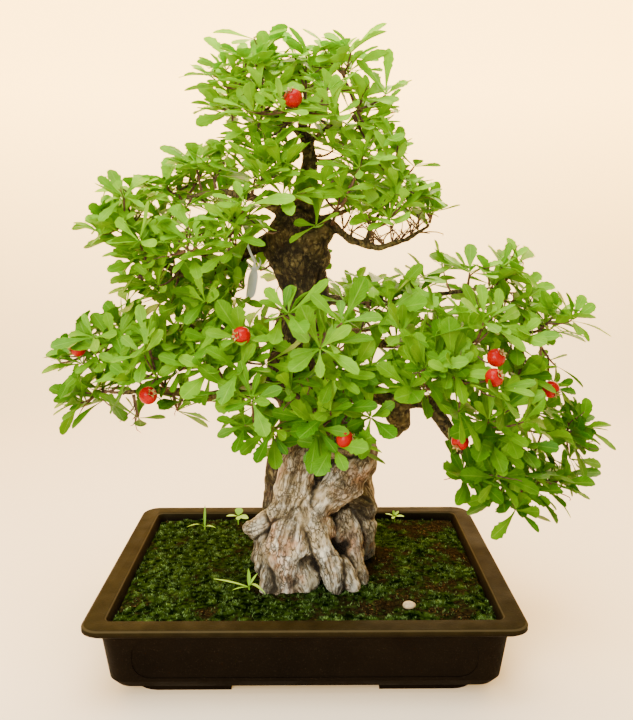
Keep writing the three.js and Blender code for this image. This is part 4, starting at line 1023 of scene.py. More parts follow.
def leaf_shape(name, rows, hang=0.0):
    """One leaf of length 1 along +Y, from a flat grid whose rows are drawn in to the outline.

    The outer corners of its end hang back a little. Returns its corners, faces and UV map."""
    bpy.ops.object.select_all(action="DESELECT")
    bpy.ops.mesh.primitive_grid_add(x_subdivisions=leaf_columns, y_subdivisions=len(rows) - 1, size=2)
    leaf = begin(name)
    spacing = 2 / (len(rows) - 1)
    for row, (along, half_width) in enumerate(rows):
        level = -1 + row * spacing
        pick(leaf, lambda corner: abs(corner.co.y - level) < spacing / 4, "VERT")
        bpy.ops.transform.resize(value=(half_width, 1, 1), center_override=(0, level, 0))
        bpy.ops.transform.translate(value=(0, 4 + along - level, 0))
    bpy.ops.mesh.select_all(action="SELECT")
    bpy.ops.transform.translate(value=(0, -4, 0))
    pick(leaf, lambda corner: corner.co.y > 0.999 and abs(corner.co.x) > 0.001, "VERT")
    bpy.ops.transform.translate(value=(0, -hang, 0))
    bpy.ops.object.mode_set(mode="OBJECT")
    apply_modifier(leaf, "SOLIDIFY", "thickness", thickness=leaf_skin, offset=-1)
    maps = np.empty(len(leaf.data.loops) * 2)
    leaf.data.uv_layers[0].data.foreach_get("uv", maps)
    return *take_shape(leaf), maps


toothed_leaf, leaf_faces, leaf_map = leaf_shape("toothed_leaf", toothed_rows, 0.02)
rounded_leaf, _, _ = leaf_shape("rounded_leaf", rounded_rows, 0.01)


def chance(first, second):
    """A repeatable number from 0 to 1 for each pair of whole numbers."""
    wave = math.sin(first * 12.9898 + second * 78.233) * 43758.5453
    return wave - math.floor(wave)


def hub_frame(tip, axis):
    """The directions of a star of leaves: its axis and two directions across it."""
    first = (Vector((1, 0, 0)) - axis * axis.x).normalized()
    return {"tip": tip, "axis": axis, "first": first, "second": axis.cross(first)}


def leaf_frame(hub, leaf):
    """Outward, sideways and upward directions of one leaf."""
    radial = hub["first"] * math.cos(leaf["angle"]) + hub["second"] * math.sin(leaf["angle"])
    out = radial * math.cos(leaf["rise"]) + hub["axis"] * math.sin(leaf["rise"])
    left = hub["axis"].cross(radial)
    face = out.cross(left)
    rolled = left * math.cos(leaf["roll"]) + face * math.sin(leaf["roll"])
    return out, rolled, out.cross(rolled)


def leaf_points(hub, leaf):
    """The corners of one leaf in place: the leaf's shape, arched along its length and folded."""
    out, left, face = (np.array(way) for way in leaf_frame(hub, leaf))
    shape = leaf["shape"]
    across = shape[:, 0] * leaf["width"] / leaf_width_share
    along = shape[:, 1] * leaf["length"]
    lift = shape[:, 2] * leaf["length"]
    ripple = np.sin(shape[:, 1] * 7 + leaf["angle"] * 3) * np.abs(shape[:, 0]) * 2
    wave = leaf.get("wave", 0.0) * leaf["length"] * ripple
    bow = leaf["arch"] * leaf["length"] * shape[:, 1] ** 2 + leaf["fold"] * np.abs(across) + wave
    reach = along + hub_radius * 0.8
    places = out[None] * reach[:, None] + left[None] * across[:, None] + face[None] * (bow + lift)[:, None]
    return np.array(hub["tip"]) + places * MM


def leaf_try(rosette, side, attempt, sides, turn):
    """The size and pose that a leaf of the frame's solids has, if this attempt at it was kept."""
    seed = rosette * 8 + side

    def draw(item):
        return chance(seed, attempt * 7 + item)

    swing = 0.12 + 0.05 * attempt
    length = leaf_lengths[0] + (leaf_lengths[1] - leaf_lengths[0]) * draw(0) - 1.4 * attempt
    return {
        "angle": turn + 2 * math.pi * (side + 0.5) / sides + swing * (2 * draw(1) - 1),
        "rise": 0.08 + 0.5 * draw(2) + 0.09 * attempt * (draw(6) - 0.5),
        "roll": 0.5 * (draw(3) - 0.5),
        "arch": 0.22 * (draw(4) - 0.6),
        "fold": 0.1 + 0.16 * draw(5),
        "length": length,
        "width": length * leaf_width_share * solid_slimness * (0.92 + 0.16 * draw(6)),
        "shape": toothed_leaf if (rosette + side) % 2 == 1 else rounded_leaf,
    }


def read_hub(corners, tree_of_corners, tip):
    """The axis of a star of leaves, from the pairs of corners that its hub has in the solid."""
    near = [Vector(corners[i]) for _, i, _ in tree_of_corners.find_range(tip, hub_reach * MM)]
    axis = Vector((0, 0, 0))
    for i, one in enumerate(near):
        for other in near[i + 1:]:
            pair = one - other
            if abs(pair.length - 2 * leaf_half_thickness * MM) < 0.04 * MM:
                axis += pair if pair.z > 0 else -pair
    return axis.normalized() if axis.length > 0 else Vector((0, 0, 1))


def read_leaves(tree_of_corners, hub, rosette, sides, turn):
    """The leaves that the solid really has at one star, found by the corner at each leaf's end."""
    found = []
    for side in range(sides):
        for attempt in range(leaf_tries):
            leaf = leaf_try(rosette, side, attempt, sides, turn)
            out, _, face = leaf_frame(hub, leaf)
            reach = leaf["length"] + hub_radius * 0.8
            bow = leaf["arch"] * leaf["length"] + leaf_half_thickness
            end = hub["tip"] + (out * reach + face * bow) * MM
            _, _, gap = tree_of_corners.find(end)
            if gap < corner_reach * MM:
                found.append(leaf)
                break
    return found


# The places in front of the tree where the wood, the tag or bare twigs show between the leaves:
# lowest x and height, highest x and height, and the depth that a leaf there has to lie behind.
open_views = [
    (-40, 425, 46, 505, -20),
    (-64, 380, -34, 470, -15),
    (60, 440, 150, 492, -10),
    (14, 428, 46, 454, 20),
    (88, 240, 128, 290, -20),
    (-70, 60, 90, 240, -20),
]
# Gaps between and beside the tiers, which no leaf may fill: lowest x and height, highest x and height.
clear_views = [(-212, 222, -126, 290), (-138, 200, -44, 262), (-320, 436, -238, 560), (108, 540, 150, 600),
               (84, 246, 116, 292), (280, 322, 345, 352), (-250, 396, -214, 440), (152, 470, 200, 540),
               (190, 446, 218, 474), (244, 420, 262, 450), (268, 314, 292, 358), (130, 219, 154, 290),
               (-72, 196, -28, 250), (108, 262, 132, 290), (-224, 536, -180, 560), (38, 600, 60, 622)]


def in_open_view(place):
    """True for a place where a leaf would fill a gap, or hide what shows behind it."""
    x, y, z = (place[0] - tray_middle.x) / MM, (place[1] - tray_middle.y) / MM, place[2] / MM
    if any(low_x < x < high_x and low_z < z < high_z for low_x, low_z, high_x, high_z in clear_views):
        return True
    return any(low_x < x < high_x and low_z < z < high_z and y < depth
               for low_x, low_z, high_x, high_z, depth in open_views)


def fits(points, margin=0.0):
    """True where a leaf or twig stays inside the tree's own outline, by a margin in millimetres."""
    low = np.array(cad_box[0]) + margin * MM
    high = np.array(cad_box[1]) - margin * MM
    return (points > low).all() and (points < high).all()


cad_wood = surface_tree(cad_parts["wood"])
stars = []
rosette = 0
for region, pairs in spray_tips.items():
    for number, tips in enumerate(pairs, start=1):
        node = f"spray_{region}_{number}"
        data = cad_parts[node].data
        corners = [vertex.co.copy() for vertex in data.vertices]
        tree_of_corners = KDTree(len(corners))
        for i, corner in enumerate(corners):
            tree_of_corners.insert(corner, i)
        tree_of_corners.balance()
        for tip in tips:
            place = spot(*tip)
            sides = leaves_by_turns[rosette % 3]
            turn = 2 * math.pi * chance(rosette, 500)
            hub = hub_frame(place, read_hub(corners, tree_of_corners, place))
            leaves = read_leaves(tree_of_corners, hub, rosette, sides, turn)
            stars.append({"node": node, "hub": hub, "leaves": leaves})
            rosette += 1

# A master twig: a six-sided shoot of length 1 along +Z, with rings to bend and taper it by.
twig_rings = 7
bpy.ops.object.select_all(action="DESELECT")
bpy.ops.mesh.primitive_cylinder_add(vertices=6, radius=1, depth=1, location=(0, 0, 0.5))
master = begin("twig")
pick(master, lambda edge: abs(edge.verts[0].co.z - edge.verts[1].co.z) > 0.5, "EDGE")
bpy.ops.mesh.subdivide(number_cuts=twig_rings - 2)
bpy.ops.object.mode_set(mode="OBJECT")
twig_shape, twig_faces = take_shape(master)


def twig_points(start, bend, end, start_radius, end_radius, wobble=0.0):
    """The corners of a twig that runs from start to end and bows towards the bend."""
    share = twig_shape[:, 2][:, None]
    start, bend, end = (np.array(place) for place in (start, bend, end))
    path = (1 - share) ** 2 * start + 2 * share * (1 - share) * bend + share ** 2 * end
    way = 2 * (1 - share) * (bend - start) + 2 * share * (end - bend)
    way /= np.linalg.norm(way, axis=1)[:, None]
    helper = np.array([0.31, 0.17, 0.94]) if abs(way[0][2]) < 0.8 else np.array([0.9, 0.3, 0.1])
    first = np.cross(way, helper)
    first /= np.linalg.norm(first, axis=1)[:, None]
    second = np.cross(way, first)
    swell = 1 + wobble * np.sin(share * 19 + start[0] * 900)
    radius = (start_radius + (end_radius - start_radius) * share) * MM * swell
    return path + (first * twig_shape[:, :1] + second * twig_shape[:, 1:2]) * radius


class Bundle:
    """Points, faces and finishes of leaves and twigs that will become one piece."""

    def __init__(self):
        self.points = []
        self.faces = []
        self.finishes = []
        self.maps = []
        self.tones = []
        self.count = 0

    def add(self, points, faces, finish, maps=None, tone=0.5):
        """Adds one shape. A shape without a UV map of its own gets an empty one."""
        self.points.append(points)
        self.faces += [tuple(i + self.count for i in face) for face in faces]
        self.finishes += [finish] * len(faces)
        self.maps.append(np.zeros(2 * sum(len(face) for face in faces)) if maps is None else maps)
        self.tones += [tone] * len(points)
        self.count += len(points)

    def add_twig(self, *route):
        """Adds a twig, given its start, bend, end, radius at both ends, and how knobbly it is."""
        self.add(twig_points(*route), twig_faces, 1)

    def add_leaf(self, hub, leaf, tone):
        """Adds a leaf, unless it would reach out of the tree's own outline."""
        points = leaf_points(hub, leaf)
        if fits(points):
            self.add(points, leaf_faces, 0, leaf_map, tone)

    def make(self, name, materials):
        """The finished piece. Finish 0 is its first material, and so on."""
        piece = mesh_piece(name, np.concatenate(self.points).tolist(), self.faces, materials)
        piece.data.polygons.foreach_set("material_index", self.finishes)
        piece.data.uv_layers.new(name="leaf").data.foreach_set("uv", np.concatenate(self.maps))
        set_share(piece, "tone", self.tones)
        select_only(piece)
        bpy.ops.object.shade_smooth_by_angle(angle=math.radians(50))
        return piece


def light_and_age_tone(place):
    """Young leaves, high up and at the ends of the twigs, are yellower than old ones further in. The tone
    also holds painted light: leaves high up are painted lighter, as lit from above, and leaves further in
    darker, as in the crown's shade.
    """
    height = (place[2] / MM - 200) / 460
    inner = 1 - min(1, math.hypot(place[0] - tray_middle.x, place[1] - tray_middle.y) / (200 * MM))
    top = max(0, height - 0.78)
    return 0.13 + 0.72 * height + 1.6 * top - 0.12 * inner + random.uniform(-0.22, 0.26)


def extra_leaf(turn, lengths, rises, slimness):
    """A leaf of random size and pose, within the given lengths, rises and widths."""
    length = random.uniform(*lengths)
    return {
        "angle": turn,
        "rise": random.uniform(*rises),
        "roll": random.uniform(-0.45, 0.45),
        "arch": random.uniform(-0.32, 0.04),
        "fold": random.uniform(0.08, 0.34),
        "wave": random.uniform(0.0, 0.05),
        "length": length,
        "width": length * leaf_width_share * random.uniform(*slimness),
        "shape": toothed_leaf if random.random() < 0.5 else rounded_leaf,
    }


leaf_green, tree, shader = new_material("hawthorn leaf", Roughness=0.42, Specular_IOR_Level=0.11)
map_place = put(tree, "SeparateXYZ", {"Vector": put(tree, "UVMap", uv_map="leaf").outputs["UV"]})
across = math_node(tree, "ABSOLUTE", math_node(tree, "SUBTRACT", map_place.outputs["X"], 0.5))
midrib = mapped(tree, across, 0.012, 0.055, 1.0, 0.0)
slant = math_node(tree, "SUBTRACT", map_place.outputs["Y"], times(tree, across, 0.75))
ripple = math_node(tree, "FRACT", times(tree, slant, 7.0))
off_vein = math_node(tree, "ABSOLUTE", math_node(tree, "SUBTRACT", ripple, 0.5))
vein = mapped(tree, off_vein, 0.0, 0.13, 1.0, 0.0)
veins = math_node(tree, "MAXIMUM", midrib, times(tree, vein, 0.45))
# Painted light and shade: leaves of a high tone are painted much lighter and yellower, as lit from above, and
# those of a low tone darker, as in the crown's shade.
shaded_old_green = blend(tree, add_grain(tree, 120, 0.3, 0.7), (0.020, 0.115, 0.0006), (0.042, 0.195, 0.001))
lit_young_green = blend(tree, add_grain(tree, 120, 0.3, 0.7), (0.23, 0.52, 0.002), (0.36, 0.66, 0.004))
green = blend(tree, stored(tree, "tone"), shaded_old_green, lit_young_green)
green = blend(tree, times(tree, veins, 0.34), green, (0.38, 0.62, 0.05))
paint(tree, shader, green)
tree.links.new(mapped(tree, add_grain(tree, 200), 0.0, 1.0, 0.30, 0.48), shader.inputs["Roughness"])
bumped(tree, shader, times(tree, veins, -1.0), 0.0004, 0.55)
through = put(tree, "BsdfTranslucent", {"Color": blend(tree, 0.5, green, (0.30, 0.80, 0.003))})
both = put(tree, "MixShader", {"Fac": 0.3, 1: shader.outputs[0], 2: through.outputs[0]})
tree.links.new(both.outputs[0], tree.nodes["Material Output"].inputs["Surface"])

twig_bark, tree, shader = new_material("young twig bark", Roughness=0.62, Specular_IOR_Level=0.35)
paint(tree, shader, blend(tree, add_grain(tree, 250), (0.045, 0.022, 0.009), (0.15, 0.075, 0.032)))
bumped(tree, shader, add_grain(tree, 600), 0.0003, 0.5)

# Lengths in millimetres and rises in radians of the leaves in a side star, and inside a spray's own star.
side_leaves = ((27, 48), (0.05, 1.0))
inner_leaves = ((24, 42), (0.45, 1.15))
bare_shoots = 5
bare_lengths = (20, 40)
# A spray's own leaf in an open view is drawn shorter and narrower, and left out below this height.
short_leaf = (0.62, 0.7)
trunk_view_top = 252
# Radii of the twigs, how far a side star stands from the line between a spray's two tips, and the
# spacing of the buds on a bare shoot.
own_twig = 2.0
side_twig = 1.5
bare_twig = 0.9
star_distance = (14, 34)
bud_spacing = 8
middle_axis = spot(0, 0, 330)


def grow_twig(bundle, routes, tip, radius):
    """A twig to the tip from the nearest wood, or from an older twig of the same spray."""
    start, _, _, _ = cad_wood.find_nearest(tip)
    for one, two in routes:
        joint = one.lerp(two, 0.45)
        if (joint - tip).length < (start - tip).length * 0.9:
            start = joint
    bend = start.lerp(tip, 0.55) + Vector((0, 0, -0.14 * (tip - start).length))
    bundle.add_twig(start, bend, tip, radius, 0.95, 0.12)
    routes.append((start, tip))


def grow_bare_shoot(bundle, start, heading, length, radius):
    """A leafless shoot that turns a little at each bud, first one way and then the other."""
    place = start
    way = heading.normalized()
    step_count = max(3, round(length / bud_spacing))
    for step in range(step_count):
        turn = Vector((random.uniform(-0.6, 0.6), random.uniform(-0.5, 0.4), random.uniform(-0.25, 0.35)))
        way = (way + turn).normalized()
        following = place + way * (length / step_count * MM)
        thick = radius * (1 - 0.55 * step / step_count)
        thin = radius * (1 - 0.55 * (step + 1) / step_count)
        if fits(np.array([following]), 6):
            bundle.add_twig(place, place.lerp(following, 0.5), following, thick, thin * 1.15, 0.2)
            if random.random() < 0.5 and fits(np.array([following]), 8):
                bud = following + (turn.normalized() + way) * random.uniform(2, 4) * MM
                bundle.add_twig(following, following.lerp(bud, 0.5), bud, thin * 1.25, thin * 0.5, 0.0)
        place = following


def add_star(bundle, routes, tip, slimness):
    """A short twig with a star of leaves at its end, which faces outwards and towards the light."""
    if in_open_view(tip) or not fits(np.array([tip]), 3):
        return
    outward = (tip - middle_axis).normalized()
    tilt = Vector((random.uniform(-0.4, 0.4), random.uniform(-0.8, 0.15), 0.85))
    hub = hub_frame(tip, (outward * 0.7 + tilt).normalized())
    grow_twig(bundle, routes, tip, side_twig)
    count = random.randint(6, 8)
    turn = random.uniform(0, 2 * math.pi)
    for step in range(count):
        angle = turn + 2 * math.pi * step / count + random.uniform(-0.22, 0.22)
        leaf = extra_leaf(angle, *side_leaves, slimness)
        if not in_open_view(leaf_points(hub, leaf).mean(axis=0)):
            bundle.add_leaf(hub, leaf, light_and_age_tone(tip))


stars_beside = {"apex": 9, "left_high": 9, "right_high": 7, "left_low": 8, "front": 4, "right": 8, "back": 4}
slim_leaves = {"apex": (0.62, 0.88), "left_high": (0.62, 0.88), "right_high": (0.62, 0.92)}
# Single stars that fill the crown between the sprays. Each goes to the spray whose tips are nearest.
fillers = [
    (-84, -30, 560), (-79, 20, 560), (-57, -40, 572), (-44, 10, 588), (-26, -30, 590), (-17, 30, 571),
    (28, 20, 587), (70, 0, 577), (66, -10, 597), (-62, -20, 658), (-86, 0, 654), (-100, 0, 648),
    (-44, 0, 668), (-33, 20, 660), (50, 0, 654), (50, -30, 499), (112, -10, 506), (134, 0, 506),
    (44, 30, 566), (62, -40, 560), (84, 10, 566), (30, -40, 566), (60, 20, 520), (28, -50, 500),
    (38, -40, 488), (100, -30, 572), (-190, 20, 446), (-172, -40, 440), (-84, 20, 446), (-186, 10, 500),
    (-192, -10, 526), (-136, 20, 527), (-129, -30, 507), (-214, 10, 492), (-199, 0, 415),
    (-180, -10, 420), (-167, -20, 422), (-157, 20, 413), (-204, 0, 400), (-85, -60, 399),
    (-62, -70, 406), (-134, -60, 361), (-285, 0, 330), (44, -60, 405), (71, -60, 399), (60, -70, 379),
    (98, -60, 361), (69, -90, 342), (48, -100, 337), (97, -80, 338), (120, -60, 334), (194, -30, 396),
    (229, 0, 392), (246, -40, 313), (258, -40, 292), (69, -100, 290), (302, -30, 258), (308, -20, 238),
    (-118, -20, 554), (-84, -30, 484), (-106, -30, 462), (-66, -40, 420), (238, -20, 446),
    (-140, -60, 330), (-40, -40, 560), (93, -20, 566), (102, 10, 560), (116, -20, 504), (138, -20, 499),
    (61, -20, 499), (-52, 10, 436), (-166, 10, 408), (-150, -20, 402), (118, -30, 394), (230, -20, 402),
    (248, -20, 394), (199, -60, 348), (234, -50, 325), (168, -60, 280), (190, -50, 284), (259, -40, 280),
    (259, -40, 256), (307, -20, 240), (300, -20, 184), (176, -60, 218), (229, -40, 192), (246, -40, 182),
    (277, -30, 190), (298, -20, 200), (312, -10, 216), (212, -60, 205),
]
spray_places = [(f"spray_{region}_{number}", spot(*tip)) for region, pairs in spray_tips.items()
                for number, tips in enumerate(pairs, start=1) for tip in tips]
filler_places = {}
for filler in fillers:
    place = spot(*filler)
    nearest_spray = min(spray_places, key=lambda row: (row[1] - place).length)[0]
    filler_places.setdefault(nearest_spray, []).append(place)
# Leafless shoots stand along the upper right limb, two at each of these places.
limb_shoot = 0.95
limb_shoot_lengths = (18, 44)
shoot_starts = [(30, 0, 484), (42, -2, 474), (54, -4, 468), (66, -6, 464), (76, -7, 464), (86, -8, 465),
                (96, -9, 468), (106, -10, 473), (116, -10, 479), (124, -10, 486)]
random.seed(5)
for region, pairs in spray_tips.items():
    slimness = slim_leaves.get(region, (0.72, 1.05))
    for number in range(1, len(pairs) + 1):
        node = f"spray_{region}_{number}"
        bundle = Bundle()
        own = [star for star in stars if star["node"] == node]
        tips = [star["hub"]["tip"] for star in own]
        routes = []
        for star in own:
            grow_twig(bundle, routes, star["hub"]["tip"], own_twig)
            for leaf in star["leaves"]:
                middle = leaf_points(star["hub"], leaf).mean(axis=0)
                if in_open_view(middle):
                    if middle[2] < trunk_view_top * MM:
                        continue
                    length, width = leaf["length"] * short_leaf[0], leaf["width"] * short_leaf[1]
                    leaf = {**leaf, "length": length, "width": width}
                bundle.add_leaf(star["hub"], leaf, light_and_age_tone(star["hub"]["tip"]))
            inner_turn = random.uniform(0, 2 * math.pi)
            inner_count = random.randint(4, 5)
            for step in range(inner_count):
                angle = inner_turn + 2 * math.pi * step / inner_count + random.uniform(-0.25, 0.25)
                leaf = extra_leaf(angle, *inner_leaves, slimness)
                if not in_open_view(leaf_points(star["hub"], leaf).mean(axis=0)):
                    bundle.add_leaf(star["hub"], leaf, light_and_age_tone(star["hub"]["tip"]) + 0.12)
        for _ in range(stars_beside[region]):
            aside = Vector([random.gauss(0, 1) for _ in range(3)]).normalized()
            offset = aside * random.uniform(*star_distance) * MM
            add_star(bundle, routes, tips[0].lerp(tips[1], random.uniform(-0.15, 1.15)) + offset, slimness)
        for place in filler_places.get(node, []):
            add_star(bundle, routes, place, slimness)
        for _ in range(bare_shoots):
            start, end = random.choice(routes)
            heading = end - start + Vector((0, 0, random.uniform(-0.5, 0.3) * (end - start).length))
            foot = start.lerp(end, random.uniform(0.2, 0.8))
            grow_bare_shoot(bundle, foot, heading, random.uniform(*bare_lengths), bare_twig)
        if region == "right_high":
            for start in shoot_starts[number - 1::2]:
                foot, _, _, _ = cad_wood.find_nearest(spot(*start))
                for _ in range(2):
                    heading = Vector((random.uniform(-1.1, 1.2), random.uniform(-0.8, 0.3), 0.8))
                    grow_bare_shoot(bundle, foot, heading, random.uniform(*limb_shoot_lengths), limb_shoot)
        spray = bundle.make(node + "_leaves", [leaf_green, twig_bark])
        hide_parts(node)
        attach(spray, "root")

# ---------------------------------------------------------------- the fruits
# Round haws, ripe orange-red and glossy, speckled with small pale pores. Each hangs on a stalk and
# keeps the dried star of its five sepals round a small hollow at the far end.
haw_radius = 9.6
sepal_count = 5
# How far the stalk goes in, as a share of the radius, and how far out it is straight, in millimetres.
stalk_root = 0.86
stalk_straight = 9
# Middle of each fruit, and the way that its dried star faces.
haws = [
    ((-11, -84, 613), (-0.3, -0.4, 0.5)), ((-253, -34, 353), (-0.8, -0.4, -0.2)),
    ((-163, -100, 314), (0.5, -0.6, 0.4)), ((-63, -122, 380), (-0.55, -0.8, 0.1)),
    ((41, -130, 275), (0.9, -0.3, 0.1)), ((163, -104, 265), (-0.5, -0.6, -0.5)),
    ((192, -126, 358), (0.5, -0.5, 0.6)), ((187, -142, 341), (0.5, -0.7, 0.45)),
    ((265, -74, 314), (0.4, -0.5, -0.3)),
]
bpy.ops.object.select_all(action="DESELECT")
bpy.ops.mesh.primitive_uv_sphere_add(segments=24, ring_count=16, radius=1)
fruit = begin("haw")
pick(fruit, lambda face: face.calc_center_median().z > 0.93)
bpy.ops.mesh.inset(thickness=0.05)
bpy.ops.transform.translate(value=(0, 0, -0.10))
bpy.ops.mesh.inset(thickness=0.08)
bpy.ops.transform.translate(value=(0, 0, -0.10))
pick(fruit, lambda corner: corner.co.z < -0.94, "VERT")
bpy.ops.transform.translate(value=(0, 0, 0.05))
bpy.ops.object.mode_set(mode="OBJECT")
apply_modifier(fruit, "SUBSURF", "round", levels=1, render_levels=1)
fruit_shape, fruit_faces = take_shape(fruit)

# One sepal: a pointed flap that stands on the rim of the hollow and curls outwards.
bpy.ops.object.select_all(action="DESELECT")
bpy.ops.mesh.primitive_grid_add(x_subdivisions=2, y_subdivisions=4, size=2)
sepal = begin("sepal")
# Its rows: distance from the fruit's axis, height and half-width, as shares of the fruit's radius.
sepal_rows = [(0.20, 0.84, 0.13), (0.27, 0.98, 0.15), (0.36, 1.09, 0.11), (0.47, 1.14, 0.06),
              (0.58, 1.13, 0.012)]
for row, (out, height, half_width) in enumerate(sepal_rows):
    level = -1 + row * 0.5
    pick(sepal, lambda corner: abs(corner.co.y - level) < 0.1 and abs(corner.co.z) < 0.01, "VERT")
    bpy.ops.transform.resize(value=(half_width, 1, 1), center_override=(0, level, 0))
    bpy.ops.transform.translate(value=(0, 5 + out - level, height))
bpy.ops.mesh.select_all(action="SELECT")
bpy.ops.transform.translate(value=(0, -5, 0))
bpy.ops.object.mode_set(mode="OBJECT")
apply_modifier(sepal, "SOLIDIFY", "thickness", thickness=0.04)
sepal_shape, sepal_faces = take_shape(sepal)

haw_red, tree, shader = new_material("ripe haw skin", Roughness=0.18, Specular_IOR_Level=0.13)
skin_red = blend(tree, add_grain(tree, 70, 0.3, 0.7), (0.27, 0.0005, 0.0003), (0.40, 0.003, 0.0006))
pores = add_grain(tree, 900, 0.66, 0.74, 1.0)
paint(tree, shader, blend(tree, times(tree, pores, 0.30), skin_red, (0.62, 0.14, 0.02)))
bumped(tree, shader, add_grain(tree, 260), 0.0003, 0.3)
sepal_brown, tree, shader = new_material("dried sepals", Roughness=0.75)
paint(tree, shader, blend(tree, add_grain(tree, 500), (0.12, 0.07, 0.015), (0.42, 0.31, 0.08)))

for number, (middle, facing) in enumerate(haws, start=1):
    node = f"haw_{number}"
    centre = spot(*middle)
    axis = Vector(facing).normalized()
    turn = np.array(Vector((0, 0, 1)).rotation_difference(axis).to_matrix())
    bundle = Bundle()
    swell = np.array([1.0, 1.0, 0.95]) * haw_radius * MM
    bundle.add((fruit_shape * swell) @ turn.T + np.array(centre), fruit_faces, 0)
    for side in range(sepal_count):
        spin = np.array(Matrix.Rotation(2 * math.pi * side / sepal_count, 3, "Z"))
        bundle.add(((sepal_shape @ spin.T) * swell) @ turn.T + np.array(centre), sepal_faces, 2)
    corners = [vertex.co.copy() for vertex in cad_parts[node].data.vertices]
    far = max(corners, key=lambda corner: (corner - centre).length)
    pole = centre - axis * haw_radius * stalk_root * MM
    bend = pole - axis * stalk_straight * MM
    bundle.add_twig(far, bend, pole, 1.0, 0.8)
    piece = bundle.make(node + "_fruit", [haw_red, twig_bark, sepal_brown])
    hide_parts(node)
    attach(piece, "root")

# ---------------------------------------------------------------- the tag
# A blank label cut from white plastic sheet. A narrow strap at its top goes round the upper left limb,
# and the strap's two cut ends curl away below the limb.
loop_middle = (-60.2, -9.4, 457.8)
loop_radius = 12.9
strap_half = 1.35
sheet_thickness = 0.5
# Each strip of the label: the places it runs through, its half-width there, and the way its width points.
label_route = [(-57, -6, 447), (-57.5, -6.5, 440), (-58, -7.5, 434), (-59.5, -8, 424), (-61, -8, 414),
               (-63, -8.5, 405)]
label_half = [1.4, 1.8, 5.4, 5.6, 5.5, 5.4]
label_sides = [(1, -0.3, 0), (1, -0.2, 0), (1, 0.1, 0), (1, 0.1, 0), (1, 0, 0.1), (1, 0, 0.2)]
left_curl = [(-57.5, -8, 437), (-61, -9, 440), (-64, -10, 444), (-66, -10.5, 449), (-68.5, -11, 452)]
right_curl = [(-57.5, -8, 437), (-53.5, -9, 439), (-50.5, -10, 444), (-49.5, -10, 449), (-52, -9.5, 452)]
curl_half = [1.4, 1.5, 1.4, 1.1, 0.5]
loop_steps = 16


def add_strip(name, route, half_widths, sides):
    """A thin strip through the places of a route. Each side is the way that its width points there."""
    bpy.ops.object.select_all(action="DESELECT")
    bpy.ops.mesh.primitive_plane_add(size=2)
    strip = begin(name)
    pick(strip, lambda corner: corner.co.y > 0, "VERT")
    bpy.ops.mesh.delete(type="VERT")
    for index, (place, half, side) in enumerate(zip(route, half_widths, sides)):
        across = Vector(side).normalized()
        bpy.ops.mesh.select_mode(type="VERT")
        if index > 0:
            bpy.ops.mesh.extrude_region_move()
        else:
            bpy.ops.mesh.select_all(action="SELECT")
            before, from_place = Vector((1, 0, 0)), Vector((0, -1, 0))
        mesh = bmesh.from_edit_mesh(strip.data)
        for corner in mesh.verts:
            if corner.select:
                sign = 1 if (corner.co - from_place).dot(before) > 0 else -1
                corner.co = spot(*place) + across * (half * MM * sign)
        bmesh.update_edit_mesh(strip.data)
        before, from_place = across, spot(*place)
    bpy.ops.object.mode_set(mode="OBJECT")
    apply_modifier(strip, "SUBSURF", "curve", levels=2, render_levels=2)
    apply_modifier(strip, "SOLIDIFY", "sheet", thickness=sheet_thickness * MM, offset=0)
    return strip


loop_up = Vector((-10, -5, 24)).normalized()
loop_back = (Vector((0, 1, 0)) - loop_up * loop_up.y).normalized()
limb_way = loop_up.cross(loop_back)
loop_route = []
for step in range(loop_steps + 1):
    angle = math.pi + 2 * math.pi * step / loop_steps
    offset = (loop_up * math.cos(angle) + loop_back * math.sin(angle)) * loop_radius
    loop_route.append(tuple(middle + move for middle, move in zip(loop_middle, offset)))
strips = [
    add_strip("strap_loop", loop_route, [strap_half] * len(loop_route), [limb_way] * len(loop_route)),
    add_strip("left_curl", left_curl, curl_half, [(0.4, -0.6, 0.5)] * len(left_curl)),
    add_strip("right_curl", right_curl, curl_half, [(-0.4, -0.6, 0.5)] * len(right_curl)),
    add_strip("label", label_route, label_half, label_sides),
]
bpy.ops.object.select_all(action="DESELECT")
for strip in strips:
    strip.select_set(True)
label = strips[-1]
bpy.context.view_layer.objects.active = label
bpy.ops.object.join()
label.name = "blank_label"
bpy.ops.object.shade_smooth_by_angle(angle=math.radians(40))
white_plastic, tree, shader = new_material("white plastic sheet", Roughness=0.42, Specular_IOR_Level=0.45)
paint(tree, shader, blend(tree, add_grain(tree, 60, 0.3, 0.7), (0.80, 0.86, 0.90), (0.88, 0.93, 0.96)))
label.data.materials.clear()
label.data.materials.append(white_plastic)
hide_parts("tag")
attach(label, "root")

# ---------------------------------------------------------------- grass, seedlings and the pebble
# Weeds that have come up in the moss: tufts of grass and two seedlings with round leaves. A small
# beige pebble lies in the soil.
blade_rows = [(0, 0.020), (0.12, 0.032), (0.25, 0.044), (0.38, 0.050), (0.50, 0.052),
              (0.62, 0.048), (0.74, 0.040), (0.85, 0.027), (0.93, 0.016), (1.0, 0.004)]
round_rows = [(0, 0.05), (0.08, 0.10), (0.20, 0.22), (0.34, 0.32), (0.48, 0.375),
              (0.62, 0.38), (0.75, 0.34), (0.87, 0.25), (0.95, 0.16), (1.0, 0.08)]
grass_blade = {"shape": leaf_shape("blade", blade_rows)[0], "widest": 0.104, "fold": 0.30}
round_leaf = {"shape": leaf_shape("round_leaf", round_rows)[0], "widest": 0.76, "fold": 0.1}
